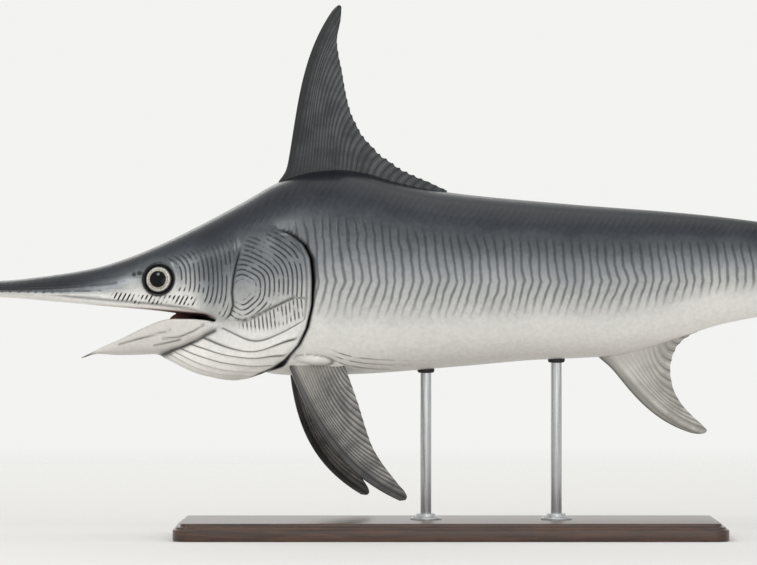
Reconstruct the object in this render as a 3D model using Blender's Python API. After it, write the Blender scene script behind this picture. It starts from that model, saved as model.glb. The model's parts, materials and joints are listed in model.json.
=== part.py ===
"""A life-size swordfish with its mouth open, held on two rods over a flat base.

Metres, +Z up. The head points to -X and the left side faces -Y. The origin is the centre of the
base's underside, on the floor.
"""
import math

import bmesh
import bpy
import numpy as np
from mathutils import Matrix, Vector

# Gap left between two pieces that touch.
GAP = 0.0003

# Where the body is parted, along X.
BILL_TIP = -1.697
BILL_END = -0.785
HEAD_END = -0.390
TORSO_END = 0.372
STOCK_END = 1.168

# Design curves of the body. Each is a list of (x, value), joined by smooth curves.
BACK_HEIGHT = [
    (-1.697, 0.5745), (-1.638, 0.577), (-1.219, 0.585), (-1.035, 0.589), (-0.897, 0.604),
    (-0.805, 0.621), (-0.736, 0.643), (-0.672, 0.669), (-0.575, 0.716), (-0.476, 0.769),
    (-0.384, 0.819), (-0.304, 0.841), (-0.253, 0.844), (-0.202, 0.838), (-0.122, 0.815),
    (-0.023, 0.795), (0.253, 0.767), (0.575, 0.741), (0.805, 0.711), (1.035, 0.669),
    (1.072, 0.661), (1.104, 0.663), (1.168, 0.646),
]
BELLY_HEIGHT = [
    (-1.697, 0.5655), (-1.638, 0.563), (-1.219, 0.557), (-1.035, 0.551), (-0.897, 0.540),
    (-0.805, 0.532), (-0.639, 0.516), (-0.547, 0.498), (-0.506, 0.469), (-0.471, 0.425),
    (-0.442, 0.389), (-0.414, 0.376), (-0.368, 0.372), (-0.241, 0.373), (0.023, 0.391),
    (0.184, 0.405), (0.363, 0.414), (0.460, 0.437), (0.566, 0.471), (0.621, 0.488),
    (0.805, 0.522), (1.035, 0.562), (1.072, 0.570), (1.104, 0.568), (1.168, 0.585),
]
HALF_WIDTH = [
    (-1.697, 0.005), (-1.680, 0.010), (-1.600, 0.017), (-1.449, 0.024), (-1.219, 0.033),
    (-1.035, 0.040), (-0.897, 0.051), (-0.805, 0.063), (-0.736, 0.074), (-0.672, 0.083),
    (-0.575, 0.102), (-0.476, 0.121), (-0.384, 0.135), (-0.304, 0.141), (-0.160, 0.146),
    (0.115, 0.132), (0.363, 0.110), (0.706, 0.071), (0.874, 0.051), (1.012, 0.032),
    (1.104, 0.021), (1.168, 0.007),
]
WIDEST_HEIGHT = [
    (-1.697, 0.570), (-1.219, 0.566), (-1.035, 0.565), (-0.897, 0.558), (-0.805, 0.553),
    (-0.736, 0.559), (-0.672, 0.573), (-0.575, 0.580), (-0.384, 0.584), (-0.241, 0.593),
    (0.363, 0.607), (0.706, 0.616), (1.168, 0.615),
]
# How square the section is above and below its widest height: 2 is an ellipse.
UPPER_SQUARE = [(-1.697, 1.6), (-1.035, 1.6), (-0.805, 1.9), (-0.672, 2.2), (-0.384, 2.1), (1.168, 2.0)]
LOWER_SQUARE = [
    (-1.697, 1.8), (-1.035, 1.8), (-0.805, 2.8), (-0.736, 4.0), (-0.547, 4.0), (-0.476, 2.8),
    (-0.384, 2.3), (-0.100, 2.1), (1.168, 2.0),
]
# The fleshy keel along each side of the tail stock: how far it stands out, and half its depth.
KEEL_REACH = [(0.940, 0.0), (0.990, 0.010), (1.050, 0.034), (1.095, 0.043), (1.135, 0.030), (1.168, 0.008)]
KEEL_HALF_DEPTH = 0.009
KEEL_HEIGHT = 0.6155
# Where the points round a section start to gather on the keel, and where they are all there.
KEEL_GATHER = (0.55, 0.93)
KEEL_POINTS = (0.0, 0.5, 1.1, 2.3)

QUARTER_STEPS = 9
BILL_STATIONS = 9
HEAD_STATIONS = 17
TORSO_STATIONS = 14
STOCK_STATIONS = 18

# Eyes: a ball in a socket, with the raised rim of the orbit round it.
EYE_X = -0.6665
EYE_HEIGHT = 0.5920
EYE_BALL_RADIUS = 0.040
EYE_SEEN_RADIUS = 0.031
ORBIT_RADIUS = 0.0355
ORBIT_RIM_RADIUS = 0.0058
ORBIT_RIM_SUNK = 0.0026

# Nostrils: two pits on each side, ahead of the eye. Each is (x, height, half its length).
NOSTRILS = [(-0.7240, 0.6035, 0.0045), (-0.7110, 0.6065, 0.0055)]
NOSTRIL_DEPTH = 0.006

# The lip of the upper jaw: a bead along each side of the mouth, and the flare of the lower jaw's lips.
LIP_SPAN = (-0.780, -0.648)
LIP_RISE = 0.0065
LIP_RADIUS = 0.0042
LIP_SUNK = 0.0016
LIP_FLARE = 0.0020

# Lower jaw: a trough, open above, whose lips rise to the corner of the mouth.
JAW_LIP_HEIGHT = [(-0.847, 0.4125), (-0.7935, 0.4395), (-0.745, 0.460), (-0.690, 0.4795), (-0.644, 0.4960),
                  (-0.628, 0.5120), (-0.545, 0.5120)]
JAW_KEEL_HEIGHT = [(-0.847, 0.4110), (-0.807, 0.4205), (-0.7635, 0.4180), (-0.672, 0.4205), (-0.623, 0.4315),
                   (-0.575, 0.4560), (-0.545, 0.4720)]
JAW_HALF_WIDTH = [(-0.847, 0.0030), (-0.805, 0.0200), (-0.745, 0.0400), (-0.685, 0.0570), (-0.644, 0.0680),
                  (-0.575, 0.0810), (-0.545, 0.0840)]
JAW_SQUARE = [(-0.847, 2.2), (-0.745, 2.4), (-0.660, 3.0), (-0.600, 3.6), (-0.530, 3.6)]
JAW_WALL = 0.009
JAW_SOLID_TIP = 0.042
JAW_STATIONS = 11

# Throat: the gill membranes and their rays, which bulge below the head behind the jaw and wrap the breast.
THROAT_TOP = [(-0.677, 0.4580), (-0.628, 0.4780), (-0.590, 0.4950), (-0.545, 0.5050), (-0.490, 0.5030),
              (-0.430, 0.5150), (-0.345, 0.5430), (-0.290, 0.5580)]
THROAT_BOTTOM = [(-0.677, 0.4175), (-0.649, 0.4060), (-0.598, 0.3875), (-0.550, 0.3755), (-0.508, 0.3685),
                 (-0.450, 0.3710), (-0.410, 0.3800), (-0.290, 0.4000)]
THROAT_WIDEST = [(-0.677, 0.4320), (-0.598, 0.4420), (-0.543, 0.4580), (-0.476, 0.4680), (-0.290, 0.4800)]
THROAT_HALF_WIDTH = [(-0.677, 0.0180), (-0.649, 0.0370), (-0.598, 0.0590), (-0.543, 0.0810), (-0.476, 0.1090),
                     (-0.432, 0.1180), (-0.290, 0.1180)]
THROAT_SQUARE = 2.2
THROAT_PROUD = 0.0040
THROAT_STATIONS = 14
THROAT_RAYS = 7
THROAT_RAY_HEIGHT = 0.0030

# Gill cover: a plate from the cheek to the free rear margin. Points are (x, height), round to the belly.
GILL_MARGIN = [(-0.4150, 0.709), (-0.390, 0.704), (-0.366, 0.694), (-0.336, 0.671), (-0.3195, 0.640),
               (-0.3150, 0.590), (-0.3175, 0.530), (-0.3280, 0.482), (-0.3480, 0.442), (-0.3770, 0.410),
               (-0.4050, 0.391), (-0.4350, 0.378), (-0.4700, 0.360)]
GILL_TOP = 0.6990
GILL_BOTTOM = 0.5000
GILL_OVERLAP = 0.004
GILL_FRONT = [(0.7000, -0.4700), (0.6670, -0.4760), (0.6325, -0.4785), (0.5800, -0.4830), (0.5380, -0.4880),
              (0.5175, -0.4970), (0.5000, -0.5120)]
GILL_REAR = -0.3000
GILL_EDGE_THICK = 0.0065
GILL_FRONT_THICK = 0.0014
GILL_SUNK = 0.008
GILL_COLUMNS = 12
GILL_ROWS = 10
GILL_RIB_HEIGHT = 0.0014

# Fins. An outline runs from the tip of the leading edge along the free edge to the rear of the root.
FIN_EDGE_HALF = 0.0006

DORSAL_ROOT = [(-0.3835, 0.806), (-0.300, 0.825), (-0.235, 0.828), (-0.150, 0.806), (-0.009, 0.778)]
DORSAL_EDGE = [(-0.2515, 1.2240), (-0.2600, 1.1390), (-0.2530, 1.0680), (-0.2280, 0.9630), (-0.1690, 0.8830),
               (-0.1040, 0.8370), (-0.0060, 0.7960)]
DORSAL_BOW = -0.018
ANAL_ROOT = [(0.3600, 0.4300), (0.4600, 0.4530), (0.5600, 0.4850), (0.6660, 0.5120)]
ANAL_EDGE = [(0.5920, 0.2395), (0.5560, 0.2760), (0.5180, 0.3300), (0.5070, 0.3830), (0.5200, 0.4320),
             (0.5760, 0.4740), (0.6700, 0.4990)]
ANAL_BOW = 0.036
SECOND_DORSAL_ROOT = [(0.8620, 0.6900), (0.9230, 0.6810)]
SECOND_DORSAL_EDGE = [(0.9350, 0.7430), (0.9260, 0.7160), (0.9480, 0.7000), (0.9880, 0.6960)]
SECOND_DORSAL_BOW = -0.004
SECOND_ANAL_ROOT = [(0.8420, 0.5410), (0.9030, 0.5500)]
SECOND_ANAL_EDGE = [(0.9160, 0.4880), (0.9060, 0.5130), (0.9280, 0.5290), (0.9690, 0.5350)]
SECOND_ANAL_BOW = 0.004
TAIL_MIDDLE = 0.6155
TAIL_ROOT = [(1.0950, 0.0370), (1.1250, 0.0200), (1.1400, 0.0000)]
TAIL_UPPER_EDGE = [(1.3200, 0.4050), (1.2840, 0.3130), (1.2480, 0.2170), (1.2190, 0.1170), (1.2020, 0.0440),
                   (1.1980, 0.0000)]
TAIL_LOWER_EDGE = [(1.3000, -0.3850), (1.2680, -0.2980), (1.2370, -0.2080), (1.2120, -0.1130),
                   (1.2000, -0.0430), (1.1980, 0.0000)]
TAIL_BOW = 0.030

# Pectoral fins, in the plane of the fin: (distance rearwards, distance outwards) from the front of the root.
PECTORAL_EDGE = [(0.2500, 0.3290), (0.2620, 0.3275), (0.2665, 0.3200), (0.2440, 0.2860), (0.2158, 0.2480),
                 (0.1920, 0.2080), (0.1735, 0.1570), (0.1635, 0.1214), (0.1461, 0.0667), (0.1260, 0.0100)]
PECTORAL_ROOT = [(-0.0140, -0.0300), (0.1120, -0.0300)]
LEFT_BOW = 0.047
RIGHT_BOW = 0.052
PECTORAL_SKEW = 0.25
PECTORAL_ROOT_X = -0.3660
PECTORAL_ROOT_HEIGHT = 0.3950
PECTORAL_ROOT_OUT = 0.0600
PECTORAL_CAMBER = 0.014
LEFT_SPLAY = 20.0
RIGHT_SPLAY = 33.6
RIGHT_SWEEP = 14.2

# Stand: a flat base and two rods with a collar at the foot.
BASE_LENGTH = 1.260
BASE_WIDTH = 0.460
BASE_THICK = 0.040
BASE_BEVEL = 0.006
BASE_CORNER = 0.035
ROD_RADIUS = 0.0125
ROD_X = (-0.055, 0.245)
ROD_SUNK = 0.030
COLLAR_RADIUS = 0.036
COLLAR_HEIGHT = 0.014
ROD_SIDES = 24

# Colours are linear RGB.
SKIN_BACK = (0.035, 0.042, 0.055, 1)
SKIN_SIDE = (0.150, 0.155, 0.165, 1)
SKIN_PALE = (0.420, 0.410, 0.390, 1)
FIN_DARK = (0.030, 0.034, 0.042, 1)
EYE_BLACK = (0.006, 0.008, 0.014, 1)
BASE_WOOD = (0.055, 0.030, 0.018, 1)
ROD_STEEL = (0.560, 0.570, 0.580, 1)


def smooth(points, at):
    """The value at a place on a smooth curve through the points, which never overshoots them."""
    x = np.array([p[0] for p in points])
    v = np.array([p[1] for p in points])
    step = np.diff(x)
    slope = np.diff(v) / step
    tangent = np.zeros(len(x))
    tangent[0] = slope[0]
    tangent[-1] = slope[-1]
    for i in range(1, len(x) - 1):
        if slope[i - 1] * slope[i] > 0:
            before = 2 * step[i] + step[i - 1]
            after = step[i] + 2 * step[i - 1]
            tangent[i] = (before + after) / (before / slope[i - 1] + after / slope[i])
    at = np.clip(at, x[0], x[-1])
    k = np.clip(np.searchsorted(x, at) - 1, 0, len(step) - 1)
    t = (at - x[k]) / step[k]
    return (
        v[k] * (1 + 2 * t) * (1 - t) ** 2
        + tangent[k] * step[k] * t * (1 - t) ** 2
        + v[k + 1] * t**2 * (3 - 2 * t)
        - tangent[k + 1] * step[k] * t**2 * (1 - t)
    )


def along(points, share):
    """The point at a share of the length of a smooth curve through 2-D points."""
    points = np.array(points, float)
    lengths = np.concatenate([[0], np.cumsum(np.linalg.norm(np.diff(points, axis=0), axis=1))])
    where = share * lengths[-1]
    return np.array([smooth(list(zip(lengths, points[:, i])), where) for i in range(2)])


def evenly(half, quarter_steps):
    """Picks 2 * quarter_steps + 1 places, even by length, above and below the middle of a half outline."""
    middle = len(half) // 2
    picked = []
    for part in (half[: middle + 1], half[middle:]):
        length = np.concatenate([[0], np.cumsum(np.linalg.norm(np.diff(part, axis=0), axis=1))])
        at = np.linspace(0, length[-1], quarter_steps + 1)
        picked.append(np.column_stack([np.interp(at, length, part[:, i]) for i in range(2)]))
    return np.vstack([picked[0], picked[1][1:]])


def gathered(half, even, share):
    """Moves the points next to the middle of a half section on to set places across the keel."""
    middle = len(even) // 2
    heights = even[:, 1].copy()
    for k, offset in enumerate(KEEL_POINTS):
        for sign in (-1, 1):
            i = middle + sign * k
            heights[i] += share * (KEEL_HEIGHT - sign * offset * KEEL_HALF_DEPTH - heights[i])
    last = len(KEEL_POINTS) - 1
    for start, end in ((0, middle - last), (middle + last, len(even) - 1)):
        part = even[start : end + 1]
        old = part[:, 1]
        spread = (old - old[0]) / (old[-1] - old[0])
        heights[start : end + 1] = heights[start] + (heights[end] - heights[start]) * spread
    reach = np.interp(-heights, -half[:, 1], half[:, 0])
    return np.column_stack([reach, heights])


def half_section(top, bottom, widest, half_width, upper, lower, samples=240):
    """The right half of a section, from its top round to its bottom, as (y, z)."""
    angle = np.linspace(math.pi / 2, -math.pi / 2, 2 * samples + 1)
    reach = np.abs(np.cos(angle))
    rise = np.abs(np.sin(angle))
    square = np.where(angle >= 0, upper, lower)
    height = np.where(angle >= 0, top - widest, bottom - widest)
    return np.column_stack([half_width * reach ** (2 / square), widest + height * rise ** (2 / square)])


def body_half(x):
    """The right half of the body's section at x, keel included."""
    half = half_section(
        smooth(BACK_HEIGHT, x), smooth(BELLY_HEIGHT, x), smooth(WIDEST_HEIGHT, x),
        smooth(HALF_WIDTH, x), smooth(UPPER_SQUARE, x), smooth(LOWER_SQUARE, x),
    )
    if x > KEEL_REACH[0][0]:
        spread = np.exp(-(((half[:, 1] - KEEL_HEIGHT) / KEEL_HALF_DEPTH) ** 2))
        half[:, 0] += smooth(KEEL_REACH, x) * spread
    return half


def offset(half, distance):
    """A half section moved outwards along its own normals."""
    along_it = np.gradient(half, axis=0)
    length = np.maximum(np.linalg.norm(along_it, axis=1), 1e-9)
    outwards = np.column_stack([-along_it[:, 1], along_it[:, 0]]) / length[:, None]
    return half + outwards * distance


def throat_half(x, samples=240):
    """The right side of the throat's section at x, from its flat top down to its middle line.

    It is the wider of a curve of its own and the body's section made a little larger.
    """
    top, widest, bottom = smooth(THROAT_TOP, x), smooth(THROAT_WIDEST, x), smooth(THROAT_BOTTOM, x)
    shell = offset(body_half(x), THROAT_PROUD)
    low = min(bottom, shell[-1, 1])
    share = np.linspace(1, 0, samples)
    height = low + (top - low) * (1 - np.cos(share * math.pi / 2))
    below = np.clip((widest - height) / (widest - bottom), 0, 1)
    own = smooth(THROAT_HALF_WIDTH, x) * (1 - below**THROAT_SQUARE) ** (1 / THROAT_SQUARE)
    return np.column_stack([np.maximum(own, flank(shell, height)), height])


def flank(half, height):
    """How far a half section reaches sideways at a height."""
    return np.interp(-height, -half[:, 1], half[:, 0], left=0, right=0)


def ring(half, x):
    """A closed ring of points, from the top down the right side and up the left."""
    right = [(x, y, z) for y, z in half]
    left = [(x, -y, z) for y, z in half[-2:0:-1]]
    return right + left


def link(name, mesh):
    obj = bpy.data.objects.new(name, mesh)
    bpy.context.scene.collection.objects.link(obj)
    return obj


def mesh_object(name, points, faces):
    mesh = bpy.data.meshes.new(name)
    mesh.from_pydata([tuple(p) for p in points], [], faces)
    mesh.update()
    return link(name, mesh)


def loft(name, rings):
    """A closed solid through rings of equal count. Both sides are split into mirrored triangles."""
    count = len(rings[0])
    points = [p for r in rings for p in r]
    faces = []
    for i in range(len(rings) - 1):
        for j in range(count):
            a = i * count + j
            b = i * count + (j + 1) % count
            c, d = b + count, a + count
            if j < count // 2:
                faces += [(a, b, c), (a, c, d)]
            else:
                faces += [(a, b, d), (b, c, d)]
    for i, order in ((0, -1), (len(rings) - 1, 1)):
        points.append(tuple(np.mean(rings[i], axis=0)))
        centre = len(points) - 1
        for j in range(count):
            edge = (i * count + j, i * count + (j + 1) % count)
            faces.append((centre, *edge[::order]))
    obj = mesh_object(name, points, faces)
    face_out(obj)
    return obj


def face_out(obj):
    """Turns a closed mesh's faces outwards."""
    bm = bmesh.new()
    bm.from_mesh(obj.data)
    bmesh.ops.recalc_face_normals(bm, faces=bm.faces)
    if bm.calc_volume(signed=True) < 0:
        bmesh.ops.reverse_faces(bm, faces=bm.faces)
    bm.to_mesh(obj.data)
    bm.free()


def grown(obj, distance=GAP):
    """A copy whose surface lies a little further out."""
    copy = link(obj.name + "_grown", obj.data.copy())
    copy.data.update()
    normals = [v.normal.copy() for v in copy.data.vertices]
    for vertex, normal in zip(copy.data.vertices, normals):
        vertex.co += normal * distance
    return copy


def apply_modifiers(obj):
    graph = bpy.context.evaluated_depsgraph_get()
    mesh = bpy.data.meshes.new_from_object(obj.evaluated_get(graph))
    obj.modifiers.clear()
    obj.data = mesh


def cut(obj, tools, operation="DIFFERENCE"):
    """Cuts each tool from the object, or keeps what they share, and removes the tools."""
    for tool in tools:
        modifier = obj.modifiers.new("cut", "BOOLEAN")
        modifier.operation = operation
        modifier.solver = "EXACT"
        modifier.object = tool
        apply_modifiers(obj)
        bpy.data.objects.remove(tool)
    keep_largest(obj)


def fuse(obj, pieces):
    """Joins closed pieces to the object as one closed body."""
    group = bpy.data.collections.new(obj.name + "_pieces")
    for piece in pieces:
        group.objects.link(piece)
    modifier = obj.modifiers.new("fuse", "BOOLEAN")
    modifier.operation = "UNION"
    modifier.solver = "EXACT"
    modifier.operand_type = "COLLECTION"
    modifier.collection = group
    apply_modifiers(obj)
    for piece in pieces:
        bpy.data.objects.remove(piece)
    bpy.data.collections.remove(group)
    keep_largest(obj)


def keep_largest(obj):
    """Drops every closed surface but the largest."""
    bm = bmesh.new()
    bm.from_mesh(obj.data)
    bmesh.ops.triangulate(bm, faces=bm.faces)
    unseen = set(bm.verts)
    shells = []
    while unseen:
        reached = [unseen.pop()]
        for vertex in reached:
            for edge in vertex.link_edges:
                other = edge.other_vert(vertex)
                if other in unseen:
                    unseen.remove(other)
                    reached.append(other)
        shells.append(reached)
    sizes = []
    for shell in shells:
        span = np.ptp(np.array([v.co for v in shell]), axis=0)
        sizes.append(float(np.linalg.norm(span)))
    largest = int(np.argmax(sizes))
    loose = [v for i, shell in enumerate(shells) if i != largest for v in shell]
    bmesh.ops.delete(bm, geom=loose, context="VERTS")
    bm.to_mesh(obj.data)
    bm.free()


def body_rings(start, end, stations):
    rings = []
    for x in np.linspace(start, end, stations):
        half = body_half(x)
        points = evenly(half, QUARTER_STEPS)
        share = (x - KEEL_GATHER[0]) / (KEEL_GATHER[1] - KEEL_GATHER[0])
        if share > 0:
            points = gathered(half, points, min(share, 1.0))
        rings.append(ring(points, x))
    return rings


def make_body():
    """The bill, head, torso and tail stock, and the whole body that other pieces are fitted to."""
    spans = [
        ("bill", BILL_TIP, BILL_END, BILL_STATIONS),
        ("head", BILL_END, HEAD_END, HEAD_STATIONS),
        ("torso", HEAD_END, TORSO_END, TORSO_STATIONS),
        ("tail_stock", TORSO_END, STOCK_END, STOCK_STATIONS),
    ]
    whole = []
    pieces = {}
    for name, start, end, stations in spans:
        rings = body_rings(start, end, stations)
        whole += rings if not whole else rings[1:]
        if start != BILL_TIP:
            rings[0] = parted(rings[0], rings[1])
        if end != STOCK_END:
            rings[-1] = parted(rings[-1], rings[-2])
        pieces[name] = loft(name, rings)
    return pieces, loft("body_whole", whole)


def parted(end_ring, next_ring):
    """An end ring, drawn back along the surface by half the gap."""
    a = np.array(end_ring)
    b = np.array(next_ring)
    share = GAP / 2 / abs(b[0, 0] - a[0, 0])
    return [tuple(p) for p in a + (b - a) * share]


def on_side(x, height, side):
    """The point of the body's side at x and a height, and the direction outwards there."""
    step = 0.004
    slope_x = (flank(body_half(x + step), height) - flank(body_half(x - step), height)) / (2 * step)
    half = body_half(x)
    slope_z = (flank(half, height + step) - flank(half, height - step)) / (2 * step)
    point = Vector((x, side * flank(half, height), height))
    return point, Vector((-slope_x, side, -slope_z)).normalized()


def orbit_rim(name, side, outwards, sides=20, tube_sides=6):
    """A raised ring that follows the side of the head round the eye."""
    points = []
    faces = []
    for i in range(sides):
        turn = 2 * math.pi * i / sides
        away = Vector((math.cos(turn), 0, math.sin(turn)))
        middle, _ = on_side(EYE_X + ORBIT_RADIUS * away.x, EYE_HEIGHT + ORBIT_RADIUS * away.z, side)
        middle -= outwards * ORBIT_RIM_SUNK
        away = (away - outwards * away.dot(outwards)).normalized()
        for j in range(tube_sides):
            roll = 2 * math.pi * (j + 0.5) / tube_sides
            points.append(middle + (away * math.cos(roll) + outwards * math.sin(roll)) * ORBIT_RIM_RADIUS)
            a = i * tube_sides + j
            b = i * tube_sides + (j + 1) % tube_sides
            c = (i + 1) % sides * tube_sides + (j + 1) % tube_sides
            d = (i + 1) % sides * tube_sides + j
            faces.append((a, b, c, d))
    obj = mesh_object(name, points, faces)
    face_out(obj)
    return obj


def lip_bead(name, side, stations=9, tube_sides=6):
    """A bead along the edge of the upper jaw, which thins out at both ends."""
    rings = []
    for i, x in enumerate(np.linspace(*LIP_SPAN, stations)):
        middle, outwards = on_side(x, smooth(BELLY_HEIGHT, x) + LIP_RISE, side)
        middle -= outwards * LIP_SUNK
        radius = LIP_RADIUS * (0.35 + 0.65 * math.sin(math.pi * (i + 0.5) / stations) ** 0.5)
        turns = [2 * math.pi * (j + 0.25) / tube_sides for j in range(tube_sides)]
        rings.append([(x, middle.y + radius * math.cos(t), middle.z + radius * math.sin(t)) for t in turns])
    return loft(name, rings)


def ball(name, centre, radii, segments=18, rings=10):
    """A ball, stretched to three radii, with its poles along Y."""
    mesh = bpy.data.meshes.new(name)
    bm = bmesh.new()
    bmesh.ops.create_uvsphere(bm, u_segments=segments, v_segments=rings, radius=1)
    for vertex in bm.verts:
        x, y, z = vertex.co
        vertex.co = Vector((centre[0] + radii[0] * x, centre[1] + radii[1] * z, centre[2] + radii[2] * y))
    bm.to_mesh(mesh)
    bm.free()
    obj = link(name, mesh)
    face_out(obj)
    return obj


def make_eyes(head):
    """Raises the orbits and the lips, sinks the sockets and the nostrils, then makes the two eyes."""
    eyes = []
    rims = []
    sockets = []
    pits = []
    depth = math.sqrt(EYE_BALL_RADIUS**2 - EYE_SEEN_RADIUS**2)
    for side, name in ((-1, "eye_left"), (1, "eye_right")):
        point, outwards = on_side(EYE_X, EYE_HEIGHT, side)
        centre = point - outwards * depth
        eyes.append(ball(name, centre, (EYE_BALL_RADIUS,) * 3))
        sockets.append(ball(name + "_socket", centre, (EYE_BALL_RADIUS + GAP,) * 3))
        rims.append(orbit_rim(name + "_rim", side, outwards))
        rims.append(lip_bead(name + "_lip", side))
        for x, height, half_length in NOSTRILS:
            pit, _ = on_side(x, height, side)
            pits.append(ball(name + "_nostril", pit, (half_length, NOSTRIL_DEPTH, 0.6 * half_length), 8, 6))
    fuse(head, rims)
    cut(head, sockets + pits)
    return eyes


def jaw_rings(stations, inset, lift, rise, flare=0.0):
    """Sections of the jaw's trough: flat above at the lips, round below. Inset and lift shrink it inwards."""
    rings = []
    for x in stations:
        half_width = max(smooth(JAW_HALF_WIDTH, x) - inset, 0.0015)
        lip, square = smooth(JAW_LIP_HEIGHT, x), smooth(JAW_SQUARE, x)
        keel = min(smooth(JAW_KEEL_HEIGHT, x) + lift, lip - 0.0008)
        angle = np.linspace(0, -math.pi / 2, 9)
        right = [(0.0, lip + rise), (0.5 * half_width, lip + rise)]
        for a in angle:
            reach = half_width * math.cos(a) ** (2 / square) if a > -1.57 else 0.0
            if a == 0:
                reach += flare * min(1.0, half_width / 0.03)
            depth = (lip - keel) * abs(math.sin(a)) ** (2 / square)
            right.append((reach, lip - depth + (rise if a == 0 else 0.0)))
        rings.append([(x, y, z) for y, z in right] + [(x, -y, z) for y, z in right[-2:0:-1]])
    return rings


def make_jaw(body):
    start, end = JAW_HALF_WIDTH[0][0], JAW_HALF_WIDTH[-1][0]
    outer = jaw_rings(np.linspace(start, end, JAW_STATIONS), 0.0, 0.0, 0.0, LIP_FLARE)
    jaw = loft("lower_jaw", outer)
    solid = loft("jaw_solid", outer)
    hollow = np.linspace(start + JAW_SOLID_TIP, end + JAW_WALL, JAW_STATIONS)
    trough = loft("jaw_trough", jaw_rings(hollow, JAW_WALL, JAW_WALL, 0.05))
    cut(jaw, [trough, grown(body)])
    return jaw, solid


def behind_gills():
    """A block that fills everything behind the free margin of the gill covers."""
    front = [np.array(along(GILL_MARGIN, s)) for s in np.linspace(0, 1, 26)]
    outline = [tuple(p) for p in front] + [(-0.20, 0.34), (-0.20, 0.73), (-0.39, 0.73)]
    half = 0.30
    count = len(outline)
    points = [(x, -half, z) for x, z in outline] + [(x, half, z) for x, z in outline]
    faces = [tuple(range(count)), tuple(range(2 * count - 1, count - 1, -1))]
    faces += [(i, (i + 1) % count, count + (i + 1) % count, count + i) for i in range(count)]
    block = mesh_object("behind_gills", points, faces)
    face_out(block)
    return block


def make_throat(body, jaw_solid):
    """The throat, with the rays of the gill membranes as low ridges along each side."""
    start, end = THROAT_HALF_WIDTH[0][0], THROAT_HALF_WIDTH[-1][0]
    steps = 2 * THROAT_RAYS
    rings = []
    for x in np.linspace(start, end, THROAT_STATIONS):
        side = throat_half(x)
        length = np.concatenate([[0], np.cumsum(np.linalg.norm(np.diff(side, axis=0), axis=1))])
        ridges = offset(side, THROAT_RAY_HEIGHT * min(1.0, (x - start) / 0.06))
        points = [(0.0, side[0, 1])]
        for i in range(steps + 1):
            raised = ridges if i % 2 and i < steps - 1 else side
            at = length[-1] * i / steps
            points.append(tuple(np.interp(at, length, raised[:, k]) for k in range(2)))
        points[-1] = (0.0, points[-1][1])
        rings.append(ring(np.array(points), x))
    throat = loft("throat", rings)
    cut(throat, [grown(body), grown(jaw_solid), behind_gills()])
    return throat


def make_gill_cover(name, side, body, throat):
    """A plate over the cheek and shoulder that thickens towards its free rear margin."""
    layers = ([], [])
    for j in range(GILL_ROWS + 1):
        down = j / GILL_ROWS
        level = GILL_TOP + (GILL_BOTTOM - GILL_TOP) * down
        front = smooth([(-h, x) for h, x in GILL_FRONT], -level)
        rows = ([], [])
        for i in range(GILL_COLUMNS + 1):
            back = i / GILL_COLUMNS
            x = front + (GILL_REAR - front) * back
            height = GILL_TOP + (smooth(THROAT_TOP, x) - GILL_OVERLAP - GILL_TOP) * down
            point, outwards = on_side(x, height, side)
            swell = back**0.7 * min(1.0, 3 * down + 0.2)
            thick = GILL_FRONT_THICK + (GILL_EDGE_THICK - GILL_FRONT_THICK) * swell
            thick += GILL_RIB_HEIGHT * (j % 2) * math.sin(math.pi * min(1.0, back * 1.2))
            rows[0].append(point + outwards * thick)
            rows[1].append(point - outwards * GILL_SUNK)
        for layer, row in zip(layers, rows):
            layer.append(row)
    cover = sheet_solid(name, *layers)
    cut(cover, [grown(body), grown(throat), behind_gills()])
    return cover


def sheet_solid(name, outer, inner):
    """A thin solid between two grids of points, split into triangles alike on both faces."""
    rows, columns = len(outer), len(outer[0])
    points = [p for row in outer for p in row] + [p for row in inner for p in row]
    half = rows * columns
    faces = []
    for j in range(rows - 1):
        for i in range(columns - 1):
            a = j * columns + i
            b, c, d = a + 1, a + 1 + columns, a + columns
            faces += [(a, b, c), (a, c, d), (half + c, half + b, half + a), (half + d, half + c, half + a)]
    border = [(0, i) for i in range(columns)] + [(j, columns - 1) for j in range(1, rows)]
    border += [(rows - 1, i) for i in range(columns - 2, -1, -1)] + [(j, 0) for j in range(rows - 2, 0, -1)]
    for (j, i), (l, k) in zip(border, border[1:] + border[:1]):
        a, b = j * columns + i, l * columns + k
        faces += [(b, a, half + a), (b, half + a, half + b)]
    obj = mesh_object(name, points, faces)
    face_out(obj)
    return obj


def fin_grid(root, edge, bow, rays, rows, root_half, ridge, place, camber=0.0, skew=0.0):
    """The two faces of a fin, whose rays are ridges.

    Place turns (x, z) of the outline and a side step into 3-D. Skew moves the bow's fullest place outwards.
    """
    first = 0.012
    shares = [0.0] + [first + (1 - first) * k / (2 * (rays - 1)) for k in range(2 * rays - 1)]
    faces = ([], [])
    for j in range(rows + 1):
        out = j / rows
        lines = ([], [])
        for k, share in enumerate(shares):
            start = np.array(along(root, share))
            end = np.array(along(edge, share))
            ray = end - start
            across = np.array([-ray[1], ray[0]]) / max(np.linalg.norm(ray), 1e-6)
            bend = bow * (1 - share) * 4 * out * (1 - out) * (1 + skew * (2 * out - 1))
            point = start + ray * out - across * bend
            chord = (1 - 0.75 * share) * (0.35 if k == 0 else 1.0)
            half = FIN_EDGE_HALF + (root_half - FIN_EDGE_HALF) * chord * (1 - out) ** 0.8
            if k % 2 and out < 1:
                half += ridge * (1 - 0.6 * out)
            middle = camber * out**2
            lines[0].append(place(point[0], point[1], middle + half))
            lines[1].append(place(point[0], point[1], middle - half))
        faces[0].append(lines[0])
        faces[1].append(lines[1])
    return faces


def median_place(x, z, y):
    """Fins that stand in the middle plane of the body."""
    return (x, y, z)


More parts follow.
